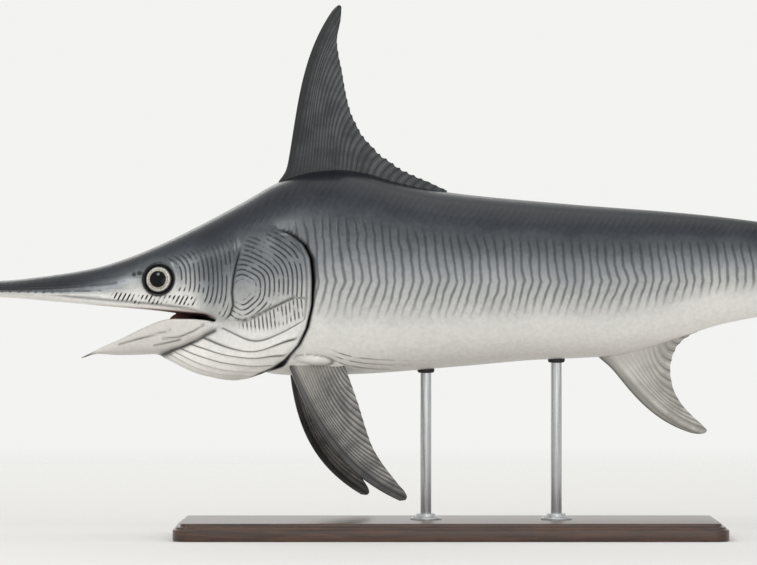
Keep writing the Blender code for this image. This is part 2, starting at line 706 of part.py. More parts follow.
def make_median_fins(body):
    plans = [
        ("first_dorsal_fin", DORSAL_ROOT, DORSAL_EDGE, DORSAL_BOW, 16, 8, 0.0085, 0.0012),
        ("first_anal_fin", ANAL_ROOT, ANAL_EDGE, ANAL_BOW, 12, 6, 0.0070, 0.0010),
        ("second_dorsal_fin", SECOND_DORSAL_ROOT, SECOND_DORSAL_EDGE, SECOND_DORSAL_BOW, 4, 3, 0.0045, 0.0008),
        ("second_anal_fin", SECOND_ANAL_ROOT, SECOND_ANAL_EDGE, SECOND_ANAL_BOW, 4, 3, 0.0045, 0.0008),
    ]
    fins = []
    for name, root, edge, bow, rays, rows, root_half, ridge in plans:
        grids = fin_grid(root, edge, bow, rays, rows, root_half, ridge, median_place)
        fin = sheet_solid(name, *grids)
        cut(fin, [grown(body)])
        fins.append(fin)
    return fins


def make_tail_fin(body):
    """Two lobes, which meet on the middle line of the tail."""
    lobes = []
    for name, side, edge in (("tail_fin_upper", 1, TAIL_UPPER_EDGE), ("tail_fin_lower", -1, TAIL_LOWER_EDGE)):
        root = [(x, TAIL_MIDDLE + side * rise) for x, rise in TAIL_ROOT]
        outline = [(x, TAIL_MIDDLE + rise) for x, rise in edge]
        root[-1] = (root[-1][0], TAIL_MIDDLE + side * GAP / 2)
        outline[-1] = (outline[-1][0], TAIL_MIDDLE + side * GAP / 2)
        grids = fin_grid(root, outline, -side * TAIL_BOW, 10, 8, 0.0110, 0.0012, median_place)
        lobe = sheet_solid(name, *grids)
        cut(lobe, [grown(body)])
        lobes.append(lobe)
    return lobes


def make_pectoral(name, side, splay, sweep, bow, body):
    """A pectoral fin that hangs from low on the flank, leaning outwards by its splay."""
    lean = math.radians(splay)
    turn = math.radians(sweep)

    def place(rearwards, outwards, step):
        back = rearwards * math.cos(turn) - outwards * math.sin(turn)
        down = rearwards * math.sin(turn) + outwards * math.cos(turn)
        y = PECTORAL_ROOT_OUT + down * math.sin(lean) + step * math.cos(lean)
        z = PECTORAL_ROOT_HEIGHT - down * math.cos(lean) + step * math.sin(lean)
        return (PECTORAL_ROOT_X + back, side * y, z)

    grids = fin_grid(PECTORAL_ROOT, PECTORAL_EDGE, -bow, 12, 6, 0.0080, 0.0011, place, PECTORAL_CAMBER,
                     PECTORAL_SKEW)
    fin = sheet_solid(name, *grids)
    cut(fin, [grown(body)])
    return fin


def cylinder(name, x, radius, low, high):
    mesh = bpy.data.meshes.new(name)
    bm = bmesh.new()
    bmesh.ops.create_cone(bm, cap_ends=True, segments=ROD_SIDES, radius1=radius, radius2=radius,
                          depth=high - low)
    half_side = Matrix.Rotation(math.pi / ROD_SIDES, 3, "Z")
    bmesh.ops.rotate(bm, verts=bm.verts, cent=(0, 0, 0), matrix=half_side)
    bmesh.ops.translate(bm, verts=bm.verts, vec=(x, 0, (low + high) / 2))
    bm.to_mesh(mesh)
    bm.free()
    return link(name, mesh)


def make_stand(body):
    """The base, and two rods with collars that stand on it and meet the belly."""
    mesh = bpy.data.meshes.new("stand_base")
    bm = bmesh.new()
    bmesh.ops.create_cube(bm, size=1)
    for vertex in bm.verts:
        across, along_it, up = vertex.co.y, vertex.co.x, vertex.co.z + 0.5
        vertex.co = Vector((along_it * BASE_LENGTH, across * BASE_WIDTH, up * BASE_THICK))
    upright = [e for e in bm.edges if abs(e.verts[0].co.z - e.verts[1].co.z) > BASE_THICK / 2]
    bmesh.ops.bevel(bm, geom=upright, offset=BASE_CORNER, segments=6, profile=0.5, affect="EDGES")
    top = [e for e in bm.edges if all(v.co.z > BASE_THICK * 0.99 for v in e.verts)]
    bmesh.ops.bevel(bm, geom=top, offset=BASE_BEVEL, segments=2, profile=0.5, affect="EDGES")
    bmesh.ops.triangulate(bm, faces=bm.faces)
    bm.to_mesh(mesh)
    bm.free()
    base = link("stand_base", mesh)
    rods = []
    foot = BASE_THICK + GAP
    for name, x in zip(("stand_rod_front", "stand_rod_rear"), ROD_X):
        belly = smooth(BELLY_HEIGHT, x)
        rod = cylinder(name, x, ROD_RADIUS, foot, belly + ROD_SUNK)
        collar = cylinder(name + "_collar", x, COLLAR_RADIUS, foot, foot + COLLAR_HEIGHT)
        fuse(rod, [collar])
        cut(rod, [grown(body)])
        rods.append(rod)
    return [base, *rods]


def material(name, colour, roughness, metallic=0.0):
    made = bpy.data.materials.new(name)
    made.use_nodes = True
    shader = made.node_tree.nodes["Principled BSDF"]
    shader.inputs["Base Color"].default_value = colour
    shader.inputs["Roughness"].default_value = roughness
    shader.inputs["Metallic"].default_value = metallic
    return made


def dress(objects, made, rounded=35):
    for obj in objects:
        obj.data.materials.clear()
        obj.data.materials.append(made)
        obj.data.shade_smooth()
        obj.data.set_sharp_from_angle(angle=math.radians(rounded))


def main():
    for obj in list(bpy.data.objects):
        bpy.data.objects.remove(obj)
    pieces, body = make_body()
    eyes = make_eyes(pieces["head"])
    jaw, jaw_solid = make_jaw(body)
    throat = make_throat(body, jaw_solid)
    covers = [make_gill_cover(name, side, body, throat)
              for name, side in (("gill_cover_left", -1), ("gill_cover_right", 1))]
    fins = make_median_fins(body) + make_tail_fin(body)
    pectorals = [
        make_pectoral("pectoral_fin_left", -1, LEFT_SPLAY, 0.0, LEFT_BOW, body),
        make_pectoral("pectoral_fin_right", 1, RIGHT_SPLAY, RIGHT_SWEEP, RIGHT_BOW, body),
    ]
    stand = make_stand(body)
    for helper in (body, jaw_solid):
        bpy.data.objects.remove(helper)

    dress([pieces["torso"], pieces["tail_stock"], pieces["head"]], material("skin", SKIN_SIDE, 0.35))
    dress([pieces["bill"]], material("bill_skin", SKIN_BACK, 0.40))
    dress([jaw, throat, *covers], material("pale_skin", SKIN_PALE, 0.38))
    dress([*fins, *pectorals], material("fin_skin", FIN_DARK, 0.42))
    dress(eyes, material("eye", EYE_BLACK, 0.08))
    dress(stand[:1], material("base_wood", BASE_WOOD, 0.35))
    dress(stand[1:], material("rod_steel", ROD_STEEL, 0.30, 1.0))


main()
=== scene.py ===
# %% [markdown]
# # A life-size swordfish on a display stand
#
# This lesson dresses a plain solid model of a swordfish with a finished skin, fins, eyes and stand.
# The fish comes from a pen drawing seen from its left side, with the mouth open. A drawing has no
# colours, so the finishes are those of a freshly caught swordfish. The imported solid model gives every
# size. It is loaded first, and nothing here moves it: new pieces are built over it, in metres, and
# then stand for its parts.

# %% Load the frame
import json
import math

import bpy
import numpy as np
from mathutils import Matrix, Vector

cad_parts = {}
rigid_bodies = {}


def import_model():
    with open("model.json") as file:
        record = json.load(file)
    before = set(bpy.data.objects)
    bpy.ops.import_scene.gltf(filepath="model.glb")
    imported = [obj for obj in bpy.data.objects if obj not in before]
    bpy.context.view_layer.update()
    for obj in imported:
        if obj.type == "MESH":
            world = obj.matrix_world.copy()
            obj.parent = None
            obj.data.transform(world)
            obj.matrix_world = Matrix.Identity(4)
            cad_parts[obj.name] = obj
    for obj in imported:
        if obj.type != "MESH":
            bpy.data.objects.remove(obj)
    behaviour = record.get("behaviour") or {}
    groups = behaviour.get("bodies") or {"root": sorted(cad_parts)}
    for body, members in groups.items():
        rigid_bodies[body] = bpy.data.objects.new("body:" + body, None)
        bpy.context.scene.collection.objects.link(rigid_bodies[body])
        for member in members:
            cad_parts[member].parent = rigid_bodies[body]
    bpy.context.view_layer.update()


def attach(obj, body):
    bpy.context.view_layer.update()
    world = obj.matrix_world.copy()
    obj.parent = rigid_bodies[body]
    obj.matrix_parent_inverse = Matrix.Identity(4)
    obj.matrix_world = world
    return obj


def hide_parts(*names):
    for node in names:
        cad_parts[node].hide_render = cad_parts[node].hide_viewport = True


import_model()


# %% [markdown]
# ## The camera
# The drawing is a flat side view, as if seen from far away. A long lens 12 m off gives almost that.
# The picture takes in 1.741 m at the fish's middle plane, so both the end of the bill and the tail
# lie outside it. The camera stands level, above the floor, and looks along +Y at the left side.

# %% Place the camera
VIEW_WIDTH = 1.741
VIEW_CENTRE = (-0.164, 0.585)
VIEW_DISTANCE = 12.0
SENSOR = 36.0

bpy.ops.object.select_all(action="DESELECT")
bpy.ops.object.camera_add(location=(VIEW_CENTRE[0], -VIEW_DISTANCE, VIEW_CENTRE[1]),
                          rotation=(math.pi / 2, 0, 0))
camera = bpy.context.object
camera.name = "camera"
camera.data.sensor_width = SENSOR
camera.data.lens = SENSOR * VIEW_DISTANCE / VIEW_WIDTH
camera.data.clip_end = 100
bpy.context.scene.camera = camera
print("lens mm:", round(camera.data.lens, 1))

# %% [markdown]
# ## Colours and nodes
# Colours are picked as hex values, the way a paint chart gives them, but a shader wants linear light.
# One function does that sum. A second one adds any node, with its settings and links, so that each
# material below reads as a short list of steps. The names in capitals are the types of node, some with
# a setting that they always have here: TIMES is a sum that multiplies, and MIX is a mix of colours.

# %% Helpers for materials
COORDINATES, ATTRIBUTE, NOISE = "ShaderNodeTexCoord", "ShaderNodeAttribute", "ShaderNodeTexNoise"
MAPPING, SPLIT, RAMP = "ShaderNodeMapping", "ShaderNodeSeparateXYZ", "ShaderNodeValToRGB"
BUMP, SHADER, OUTPUT = "ShaderNodeBump", "ShaderNodeBsdfPrincipled", "ShaderNodeOutputMaterial"
MATH, MIX = "ShaderNodeMath", ("ShaderNodeMix", {"data_type": "RGBA"})
TIMES, PLUS, TIMES_PLUS, SINE, COSINE = [(MATH, {"operation": name}) for name in
                                         ("MULTIPLY", "ADD", "MULTIPLY_ADD", "SINE", "COSINE")]
BLACK, WHITE = "#000000", "#ffffff"


def linear(code):
    """An sRGB hex colour as linear red, green, blue and a full alpha."""
    parts = [int(code[i:i + 2], 16) / 255 for i in (1, 3, 5)]
    return (*[p / 12.92 if p <= 0.04045 else ((p + 0.055) / 1.055) ** 2.4 for p in parts], 1.0)


def add(tree, kind, sockets=(), stops=(), **settings):
    """Adds a node with its own settings, and gives each socket a number, a hex colour or another node."""
    kind, always = (kind, {}) if isinstance(kind, str) else kind
    node = tree.nodes.new(kind)
    for key, value in {**always, **settings}.items():
        setattr(node, key, value)
    for key, value in sockets.items() if isinstance(sockets, dict) else enumerate(sockets):
        by_name = [socket for socket in node.inputs if socket.name == key and socket.enabled]
        socket = by_name[0] if by_name else node.inputs[key]
        if isinstance(value, bpy.types.Node):
            value = [output for output in value.outputs if output.enabled][0]
        if isinstance(value, bpy.types.NodeSocket):
            tree.links.new(value, socket)
        else:
            socket.default_value = linear(value) if isinstance(value, str) else value
    for _ in stops[2:]:
        node.color_ramp.elements.new(0.5)
    for element, (place, colour) in zip(node.color_ramp.elements if stops else (), stops):
        element.position, element.color = place, linear(colour)
    return node


def blank(name):
    """A new material, its empty tree of nodes, and the place on the object that its patterns read."""
    made = bpy.data.materials.new(name)
    made.use_nodes = True
    made.node_tree.nodes.clear()
    return made, made.node_tree, add(made.node_tree, COORDINATES).outputs["Object"]


print("a mid grey in linear light:", round(linear("#808080")[0], 3))

# %% [markdown]
# ## Smooth curves
# The fish's outline was drawn in the solid model as a few named curves: the height of the back and of
# the belly, the half width, and how square the section is. The same numbers are repeated here, because
# the new skin has to lie exactly where the solids are. Each list is joined by a curve that never
# overshoots its points.

# %% The body's design curves
BACK_HEIGHT = [(-1.697, 0.5745), (-1.638, 0.577), (-1.219, 0.585), (-1.035, 0.589), (-0.897, 0.604),
               (-0.805, 0.621), (-0.736, 0.643), (-0.672, 0.669), (-0.575, 0.716), (-0.476, 0.769),
               (-0.384, 0.819), (-0.304, 0.841), (-0.253, 0.844), (-0.202, 0.838), (-0.122, 0.815),
               (-0.023, 0.795), (0.253, 0.767), (0.575, 0.741), (0.805, 0.711), (1.035, 0.669),
               (1.072, 0.661), (1.104, 0.663), (1.168, 0.646)]
BELLY_HEIGHT = [(-1.697, 0.5655), (-1.638, 0.563), (-1.219, 0.557), (-1.035, 0.551), (-0.897, 0.54),
                (-0.805, 0.532), (-0.639, 0.516), (-0.547, 0.498), (-0.506, 0.469), (-0.471, 0.425),
                (-0.442, 0.389), (-0.414, 0.376), (-0.368, 0.372), (-0.241, 0.373), (0.023, 0.391),
                (0.184, 0.405), (0.363, 0.414), (0.46, 0.437), (0.566, 0.471), (0.621, 0.488),
                (0.805, 0.522), (1.035, 0.562), (1.072, 0.57), (1.104, 0.568), (1.168, 0.585)]
HALF_WIDTH = [(-1.697, 0.005), (-1.68, 0.01), (-1.6, 0.017), (-1.449, 0.024), (-1.219, 0.033),
              (-1.035, 0.04), (-0.897, 0.051), (-0.805, 0.063), (-0.736, 0.074), (-0.672, 0.083),
              (-0.575, 0.102), (-0.476, 0.121), (-0.384, 0.135), (-0.304, 0.141), (-0.16, 0.146),
              (0.115, 0.132), (0.363, 0.11), (0.706, 0.071), (0.874, 0.051), (1.012, 0.032), (1.104, 0.021),
              (1.168, 0.007)]
WIDEST_HEIGHT = [(-1.697, 0.57), (-1.219, 0.566), (-1.035, 0.565), (-0.897, 0.558), (-0.805, 0.553),
                 (-0.736, 0.559), (-0.672, 0.573), (-0.575, 0.58), (-0.384, 0.584), (-0.241, 0.593),
                 (0.363, 0.607), (0.706, 0.616), (1.168, 0.615)]
UPPER_SQUARE = [(-1.697, 1.6), (-1.035, 1.6), (-0.805, 1.9), (-0.672, 2.2), (-0.384, 2.1), (1.168, 2.0)]
LOWER_SQUARE = [(-1.697, 1.8), (-1.035, 1.8), (-0.805, 2.8), (-0.736, 4.0), (-0.547, 4.0), (-0.476, 2.8),
                (-0.384, 2.3), (-0.1, 2.1), (1.168, 2.0)]
KEEL_REACH = [(0.940, 0.0), (0.990, 0.010), (1.050, 0.034), (1.095, 0.043), (1.135, 0.030), (1.168, 0.008)]
KEEL_HALF_DEPTH = 0.009
KEEL_HEIGHT = 0.6155
print("from bill to tail stock mm:", round(1000 * (BACK_HEIGHT[-1][0] - BACK_HEIGHT[0][0])))

# %% Smooth curves and sections


def smooth(points, at):
    """Values at places on a smooth curve through the points, which never overshoots them."""
    x, v = np.array(points, float).T
    step = np.diff(x)
    slope = np.diff(v) / step
    tangent = np.zeros(len(x))
    tangent[0], tangent[-1] = slope[0], slope[-1]
    for i in range(1, len(x) - 1):
        if slope[i - 1] * slope[i] > 0:
            before = 2 * step[i] + step[i - 1]
            after = step[i] + 2 * step[i - 1]
            tangent[i] = (before + after) / (before / slope[i - 1] + after / slope[i])
    at = np.clip(at, x[0], x[-1])
    k = np.clip(np.searchsorted(x, at) - 1, 0, len(step) - 1)
    t = (at - x[k]) / step[k]
    return (v[k] * (1 + 2 * t) * (1 - t) ** 2 + tangent[k] * step[k] * t * (1 - t) ** 2
            + v[k + 1] * t**2 * (3 - 2 * t) - tangent[k + 1] * step[k] * t**2 * (1 - t))


def rise(value, start, end):
    """Goes smoothly from 0 at start to 1 at end."""
    t = np.clip((np.asarray(value, float) - start) / (end - start), 0, 1)
    return t * t * (3 - 2 * t)


def band(value, start, full, fade, end):
    """Goes smoothly from 0 to 1 between start and full, and back to 0 between fade and end."""
    return rise(value, start, full) * (1 - rise(value, fade, end))


def bump(value, centre, width):
    """A soft bump of height 1."""
    return np.exp(-(((value - centre) / width) ** 2))


def run_along(line):
    """The length of a line up to each of its points."""
    return np.concatenate([[0], np.cumsum(np.linalg.norm(np.diff(line, axis=0), axis=1))])


def body_half(x, samples=240):
    """The right half of the body's section at x, from the back round to the belly, as (y, z)."""
    angle = np.linspace(math.pi / 2, -math.pi / 2, 2 * samples + 1)
    widest = smooth(WIDEST_HEIGHT, x)
    square = np.where(angle >= 0, smooth(UPPER_SQUARE, x), smooth(LOWER_SQUARE, x))
    height = np.where(angle >= 0, smooth(BACK_HEIGHT, x) - widest, smooth(BELLY_HEIGHT, x) - widest)
    reach = smooth(HALF_WIDTH, x) * np.abs(np.cos(angle)) ** (2 / square)
    level = widest + height * np.abs(np.sin(angle)) ** (2 / square)
    if x > KEEL_REACH[0][0]:
        reach = reach + smooth(KEEL_REACH, x) * bump(level, KEEL_HEIGHT, KEEL_HALF_DEPTH)
    return np.column_stack([reach, level])


def flank(half, height):
    """How far a half section reaches sideways at a height."""
    return np.interp(-height, -half[:, 1], half[:, 0], left=0, right=0)


def evenly(half, quarter_steps):
    """Places at equal steps round a half section, the same number above and below its middle."""
    middle = len(half) // 2
    picked = []
    for part in (half[:middle + 1], half[middle:]):
        run = run_along(part)
        at = np.linspace(0, run[-1], quarter_steps + 1)
        picked.append(np.column_stack([np.interp(at, run, values) for values in part.T]))
    return np.vstack([picked[0], picked[1][1:]])


def on_side(x, height):
    """A point of the body's right side and the direction straight out from the skin there."""
    step = 0.004
    slope_x = (flank(body_half(x + step), height) - flank(body_half(x - step), height)) / (2 * step)
    half = body_half(x)
    slope_z = (flank(half, height + step) - flank(half, height - step)) / (2 * step)
    outwards = np.array([-slope_x, 1.0, -slope_z])
    return np.array([x, float(flank(half, height)), height]), outwards / np.linalg.norm(outwards)


print("body half width at the shoulder mm:", round(1000 * float(smooth(HALF_WIDTH, -0.384))))

# %% [markdown]
# ## A sheet wrapped round a form
# A fish's skin is one long tube whose section changes all the way along. It could be pushed into shape
# ring by ring with the move and scale tools, but hundreds of rings would be needed and the section is
# no plain ellipse. So a flat grid is added, and each of its points is moved to its place on the form,
# as a net is pulled over a mould. The seam is then merged and the open ends are filled.

# %% Helpers that shape a mesh


def only(piece):
    """Makes a piece the one that is selected and active."""
    bpy.ops.object.select_all(action="DESELECT")
    piece.select_set(True)
    bpy.context.view_layer.objects.active = piece


def start(kind, name, stretch=None, **settings):
    """Adds one of Blender's basic meshes at its size and place, and leaves its object at the origin."""
    bpy.ops.object.select_all(action="DESELECT")
    getattr(bpy.ops.mesh, "primitive_" + kind + "_add")(**settings)
    piece = bpy.context.object
    piece.name = piece.data.name = name
    if stretch:
        bpy.ops.transform.resize(value=stretch)
    bpy.ops.object.transform_apply(location=True, rotation=True, scale=True)
    return piece


def read(piece, what="co"):
    """The mesh's points, or their normals, as rows of three numbers."""
    data = np.empty(len(piece.data.vertices) * 3)
    piece.data.vertices.foreach_get(what, data)
    return data.reshape(-1, 3)


def write(piece, points):
    piece.data.vertices.foreach_set("co", np.ascontiguousarray(points).ravel())
    piece.data.update()


def move_out(piece, push):
    """Moves each point along its own normal, by its own distance."""
    write(piece, read(piece) + read(piece, "normal") * push[:, None])


def mirrored(points):
    """X, Y and Z of points, with Y as the distance from the middle plane, the same on both sides."""
    return points[:, 0], np.abs(points[:, 1]), points[:, 2]


def note(piece, **marks):
    """Writes a number at each point under each name. The finish reads it by that name."""
    for name, values in marks.items():
        made = piece.data.attributes.get(name) or piece.data.attributes.new(name, "FLOAT", "POINT")
        made.data.foreach_set("value", np.ascontiguousarray(values, dtype=np.float32))


def net(name, table):
    """A grid of faces pulled on to a table of points. Returns the piece and each point's row and column."""
    rows, columns = table.shape[:2]
    piece = start("grid", name, x_subdivisions=rows - 1, y_subdivisions=columns - 1, size=2)
    flat = read(piece)
    row = np.rint((flat[:, 0] + 1) / 2 * (rows - 1)).astype(int)
    column = np.rint((flat[:, 1] + 1) / 2 * (columns - 1)).astype(int)
    write(piece, table[row, column])
    return piece, row, column


def faces_out(piece, close=False):
    """Turns all faces outwards, after doubled points are merged and open ends filled where it closes."""
    only(piece)
    bpy.ops.object.mode_set(mode="EDIT")
    bpy.ops.mesh.select_all(action="SELECT")
    if close:
        bpy.ops.mesh.remove_doubles(threshold=1e-6)
        bpy.ops.mesh.fill_holes(sides=0)
        bpy.ops.mesh.select_all(action="SELECT")
    bpy.ops.mesh.normals_make_consistent(inside=False)
    bpy.ops.object.mode_set(mode="OBJECT")


def apply_all(piece):
    """Applies every modifier of a piece, in order."""
    only(piece)
    for modifier in list(piece.modifiers):
        bpy.ops.object.modifier_apply(modifier=modifier.name)


def open_edges(piece):
    """How many edges don't have exactly two faces. A closed mesh has none."""
    count = np.zeros(len(piece.data.edges), int)
    index = np.empty(len(piece.data.loops), int)
    piece.data.loops.foreach_get("edge_index", index)
    np.add.at(count, index, 1)
    return int((count != 2).sum())


def spans(*pieces):
    """Places along a line, from (start, end, spacing) stretches."""
    places = [np.linspace(a, b, max(2, round(abs(b - a) / gap) + 1))[:-1] for a, b, gap in pieces]
    return np.concatenate([*places, [pieces[-1][1]]])


def blunt(x, tip, length, least):
    """How much of a section's size is left near a rounded tip: all of it, from a length behind the tip."""
    return max(least, math.sqrt(1 - (1 - min(1.0, (x - tip) / length)) ** 2))


# %% [markdown]
# ## The body, from bill to tail stock
# The bill, head, body and tail stock of a swordfish have one skin, with no seam between them. The net
# is finest on the head, where the eye and the gill cover are, and coarser along the flank. The tip of
# the bill is rounded off by shrinking its last rings.

# %% Wrap the body
BILL_TIP, STOCK_END = -1.6965, 1.168
STOCK_TAPER = (1.128, 1.164)
TIP_ROUND, QUARTER = 0.007, 30
BODY_SPACING = ((BILL_TIP, BILL_TIP + TIP_ROUND, 0.0012), (BILL_TIP + TIP_ROUND, -0.9, 0.0110),
                (-0.9, -0.258, 0.0036), (-0.258, 0.950, 0.0120), (0.950, STOCK_END, 0.0050))


def body_table():
    rings = []
    for x in spans(*BODY_SPACING):
        half = evenly(body_half(x), QUARTER)
        middle = np.array([0.0, half[QUARTER, 1]])
        half = middle + (half - middle) * blunt(x, BILL_TIP, TIP_ROUND, 0.02)
        half[:, 0] *= 1 - 0.9 * rise(x, *STOCK_TAPER)
        full = np.vstack([half, half[-2::-1] * [-1, 1]])
        rings.append(np.column_stack([np.full(len(full), x), full]))
    return np.array(rings)


body, _, _ = net("skin", body_table())
faces_out(body, close=True)
print("body faces:", len(body.data.polygons), "open edges:", open_edges(body))

# %% [markdown]
# ## Finer skin round the eye
# The ring of the orbit and the two nostrils need smaller faces than the rest of the head. The faces
# near them are picked by their distance and cut in four by the subdivide tool.

# %% Subdivide round the eyes
EYE_X, EYE_HEIGHT, FINE_REACH = -0.6665, 0.592, 0.068
eye_spot, eye_out = on_side(EYE_X, EYE_HEIGHT)
# Each nostril's place, its height and half its length.
NOSTRILS = ((-0.7240, 0.6035, 0.0045), (-0.7110, 0.6065, 0.0055))


def from_eye(points):
    """How far points are from the middle of the eye on their own side."""
    return np.linalg.norm(np.column_stack(mirrored(points)) - eye_spot, axis=1)


def pick_faces(piece, chosen):
    """Selects faces by a test on their centres, and goes into edit mode."""
    only(piece)
    bpy.ops.object.mode_set(mode="EDIT")
    bpy.ops.mesh.select_all(action="DESELECT")
    bpy.ops.mesh.select_mode(type="FACE")
    bpy.ops.object.mode_set(mode="OBJECT")
    centres = np.empty(len(piece.data.polygons) * 3)
    piece.data.polygons.foreach_get("center", centres)
    piece.data.polygons.foreach_set("select", chosen(centres.reshape(-1, 3)))
    bpy.ops.object.mode_set(mode="EDIT")


pick_faces(body, lambda centres: from_eye(centres) < FINE_REACH)
bpy.ops.mesh.subdivide(number_cuts=1)
bpy.ops.object.mode_set(mode="OBJECT")
print("body faces after:", len(body.data.polygons), "eye at mm:", np.round(1000 * eye_spot, 1))

# %% [markdown]
# ## Finer skin along the gill opening
# The skin behind the free edge of the gill cover turns sharply inwards. Two lines seen in the side
# view are needed for this and for the relief below: the groove down the cheek, where the gill cover
# begins, and its free rear edge. The faces along that edge are cut in four as well.

# %% Lines traced on the head, and finer faces along one
CHEEK_GROOVE = ((-0.476, 0.676), (-0.4807, 0.653), (-0.4885, 0.6245), (-0.495, 0.593), (-0.4977, 0.561),
                (-0.495, 0.5336), (-0.5014, 0.5134), (-0.5095, 0.5037), (-0.522, 0.4933))
GILL_MARGIN = ((-0.412, 0.712), (-0.39, 0.704), (-0.366, 0.694), (-0.336, 0.671), (-0.3195, 0.64),
               (-0.315, 0.59), (-0.3175, 0.53), (-0.328, 0.482), (-0.348, 0.442), (-0.377, 0.41),
               (-0.405, 0.391), (-0.435, 0.378), (-0.47, 0.36))
LOBE_CENTRE, LOBE_REACH = (-0.3130, 0.4075), (0.0420, 0.0118)


def lobe_radius(x, z):
    """How far a point is from the middle of the fleshy lobe over a pectoral fin: 1 is its rim."""
    behind = x - LOBE_CENTRE[0]
    return np.hypot(behind / LOBE_REACH[0], (z - LOBE_CENTRE[1] + 0.08 * behind) / LOBE_REACH[1])


def across(line, height):
    """Where a line that runs from top to bottom is, along X, at each height."""
    points = np.array(sorted((z, x) for x, z in line))
    return np.interp(height, points[:, 0], points[:, 1])


def near_margin(centres):
    x, _, z = centres.T
    past, wider = x - across(GILL_MARGIN, z), 0.018 * (z < 0.435)
    return (past > -0.006 - wider) & (past < 0.013 + wider) & (z < 0.716) & (z > 0.36)


def near_lobe(centres):
    x, y, z = mirrored(centres)
    return (lobe_radius(x, z) < 1.6) & (y > 0.02) & (x > across(GILL_MARGIN, z) + 0.013)


for chosen, cuts in ((near_margin, 1), (near_lobe, 2)):
    pick_faces(body, chosen)
    bpy.ops.mesh.subdivide(number_cuts=cuts)
    bpy.ops.object.mode_set(mode="OBJECT")
print("body faces after the gill opening:", len(body.data.polygons))

# %% [markdown]
# ## Relief on the head
# A swordfish's head is bone close under thin skin. The rim of the orbit stands up round the eye, the
# nostrils are two small pits, the upper jaw has a lip, and a groove runs down the cheek where the gill
# cover begins. The skin is pushed in and out along its own normals by small sums of soft bumps, which
# keeps every face whole, where a cut would leave a hard edge.

# %% Raise the orbits
ORBIT = ((0.0, -0.013), (0.022, -0.0115), (0.0275, -0.008), (0.0305, -0.003), (0.0325, -0.0006),
         (0.036, 0.0012), (0.04, 0.0008), (0.045, -0.0016), (0.052, -0.003))
ORBIT_SUNK = 0.0008


def raise_orbits(points):
    """Pulls the skin round each eye on to a round rim that lies square to the eye's own axis."""
    away = np.column_stack(mirrored(points)) - eye_spot
    height = away @ eye_out
    flat = away - height[:, None] * eye_out
    radius = np.linalg.norm(flat, axis=1)
    hold = 1 - rise(radius, 0.033, 0.056)
    height = height + hold * (smooth(ORBIT, radius) - ORBIT_SUNK - height)
    moved = eye_spot + flat + height[:, None] * eye_out
    moved[:, 1] *= np.where(points[:, 1] < 0, -1, 1)
    return np.where((from_eye(points) < 0.08)[:, None], moved, points)


write(body, raise_orbits(read(body)))
print("points near the eyes:", int((from_eye(read(body)) < 0.056).sum()))

# %% Nostrils, lips and the groove of the cheek
# The sides of the head begin 30 mm off its middle plane, and the mouth's lip fades in along the bill.
SIDES_FROM, MOUTH_FRONT = 0.03, (-0.93, -0.86)


def from_nostril(x, z, nostril):
    """How far points are from a nostril's middle: 1 is its rim. It is a little longer than high."""
    place, height, half_length = nostril
    return np.hypot((x - place) / half_length, (z - height) / (0.75 * half_length))


def head_relief(points):
    """How far each point of the body's skin moves along its normal, and how much painted shade lies in the
    furrow over its lip.
    """
    x, y, z = mirrored(points)
    push = np.zeros(len(points))
    for nostril in NOSTRILS:
        far = from_nostril(x, z, nostril)
        push += (y > SIDES_FROM) * (-0.0048 * np.exp(-far**2) + 0.0011 * bump(far, 1.75, 0.45))
    above_lip = z - smooth(BELLY_HEIGHT, x)
    mouth = band(x, *MOUTH_FRONT, -0.6, -0.552) * rise(y / smooth(HALF_WIDTH, x), 0.55, 0.85)
    push += mouth * (0.0026 * bump(above_lip, 0.006, 0.0042) - 0.001 * bump(above_lip, 0.0155, 0.0028))
    past = x - across(CHEEK_GROOVE, z)
    cheek = band(z, 0.495, 0.53, 0.665, 0.695)
    push += cheek * 0.0016 * bump(past, -0.008, 0.011) * (past < -0.008)
    push += cheek * (0.0016 - 0.004 * rise(past, -0.008, 0.001)) * (past >= -0.008) * (past < 0.03)
    return push, 0.8 * mouth * bump(above_lip, 0.0148, 0.003)


# %% Strokes of the head
# The finish draws a stroke at each 10.5 mm of a length that is written on the mesh.
STROKE_SPACING, BILL_LINES = 0.0105, 6.5


def corners(x, z, centre, directions, power=7):
    """A distance from a point that grows in flat-sided rings, with one side for each direction in degrees."""
    turns = np.radians(directions)
    reach = (x - centre[0])[:, None] * np.cos(turns) + (z - centre[1])[:, None] * np.sin(turns)
    return (np.clip(reach, 0, None) ** power).sum(axis=1) ** (1 / power)


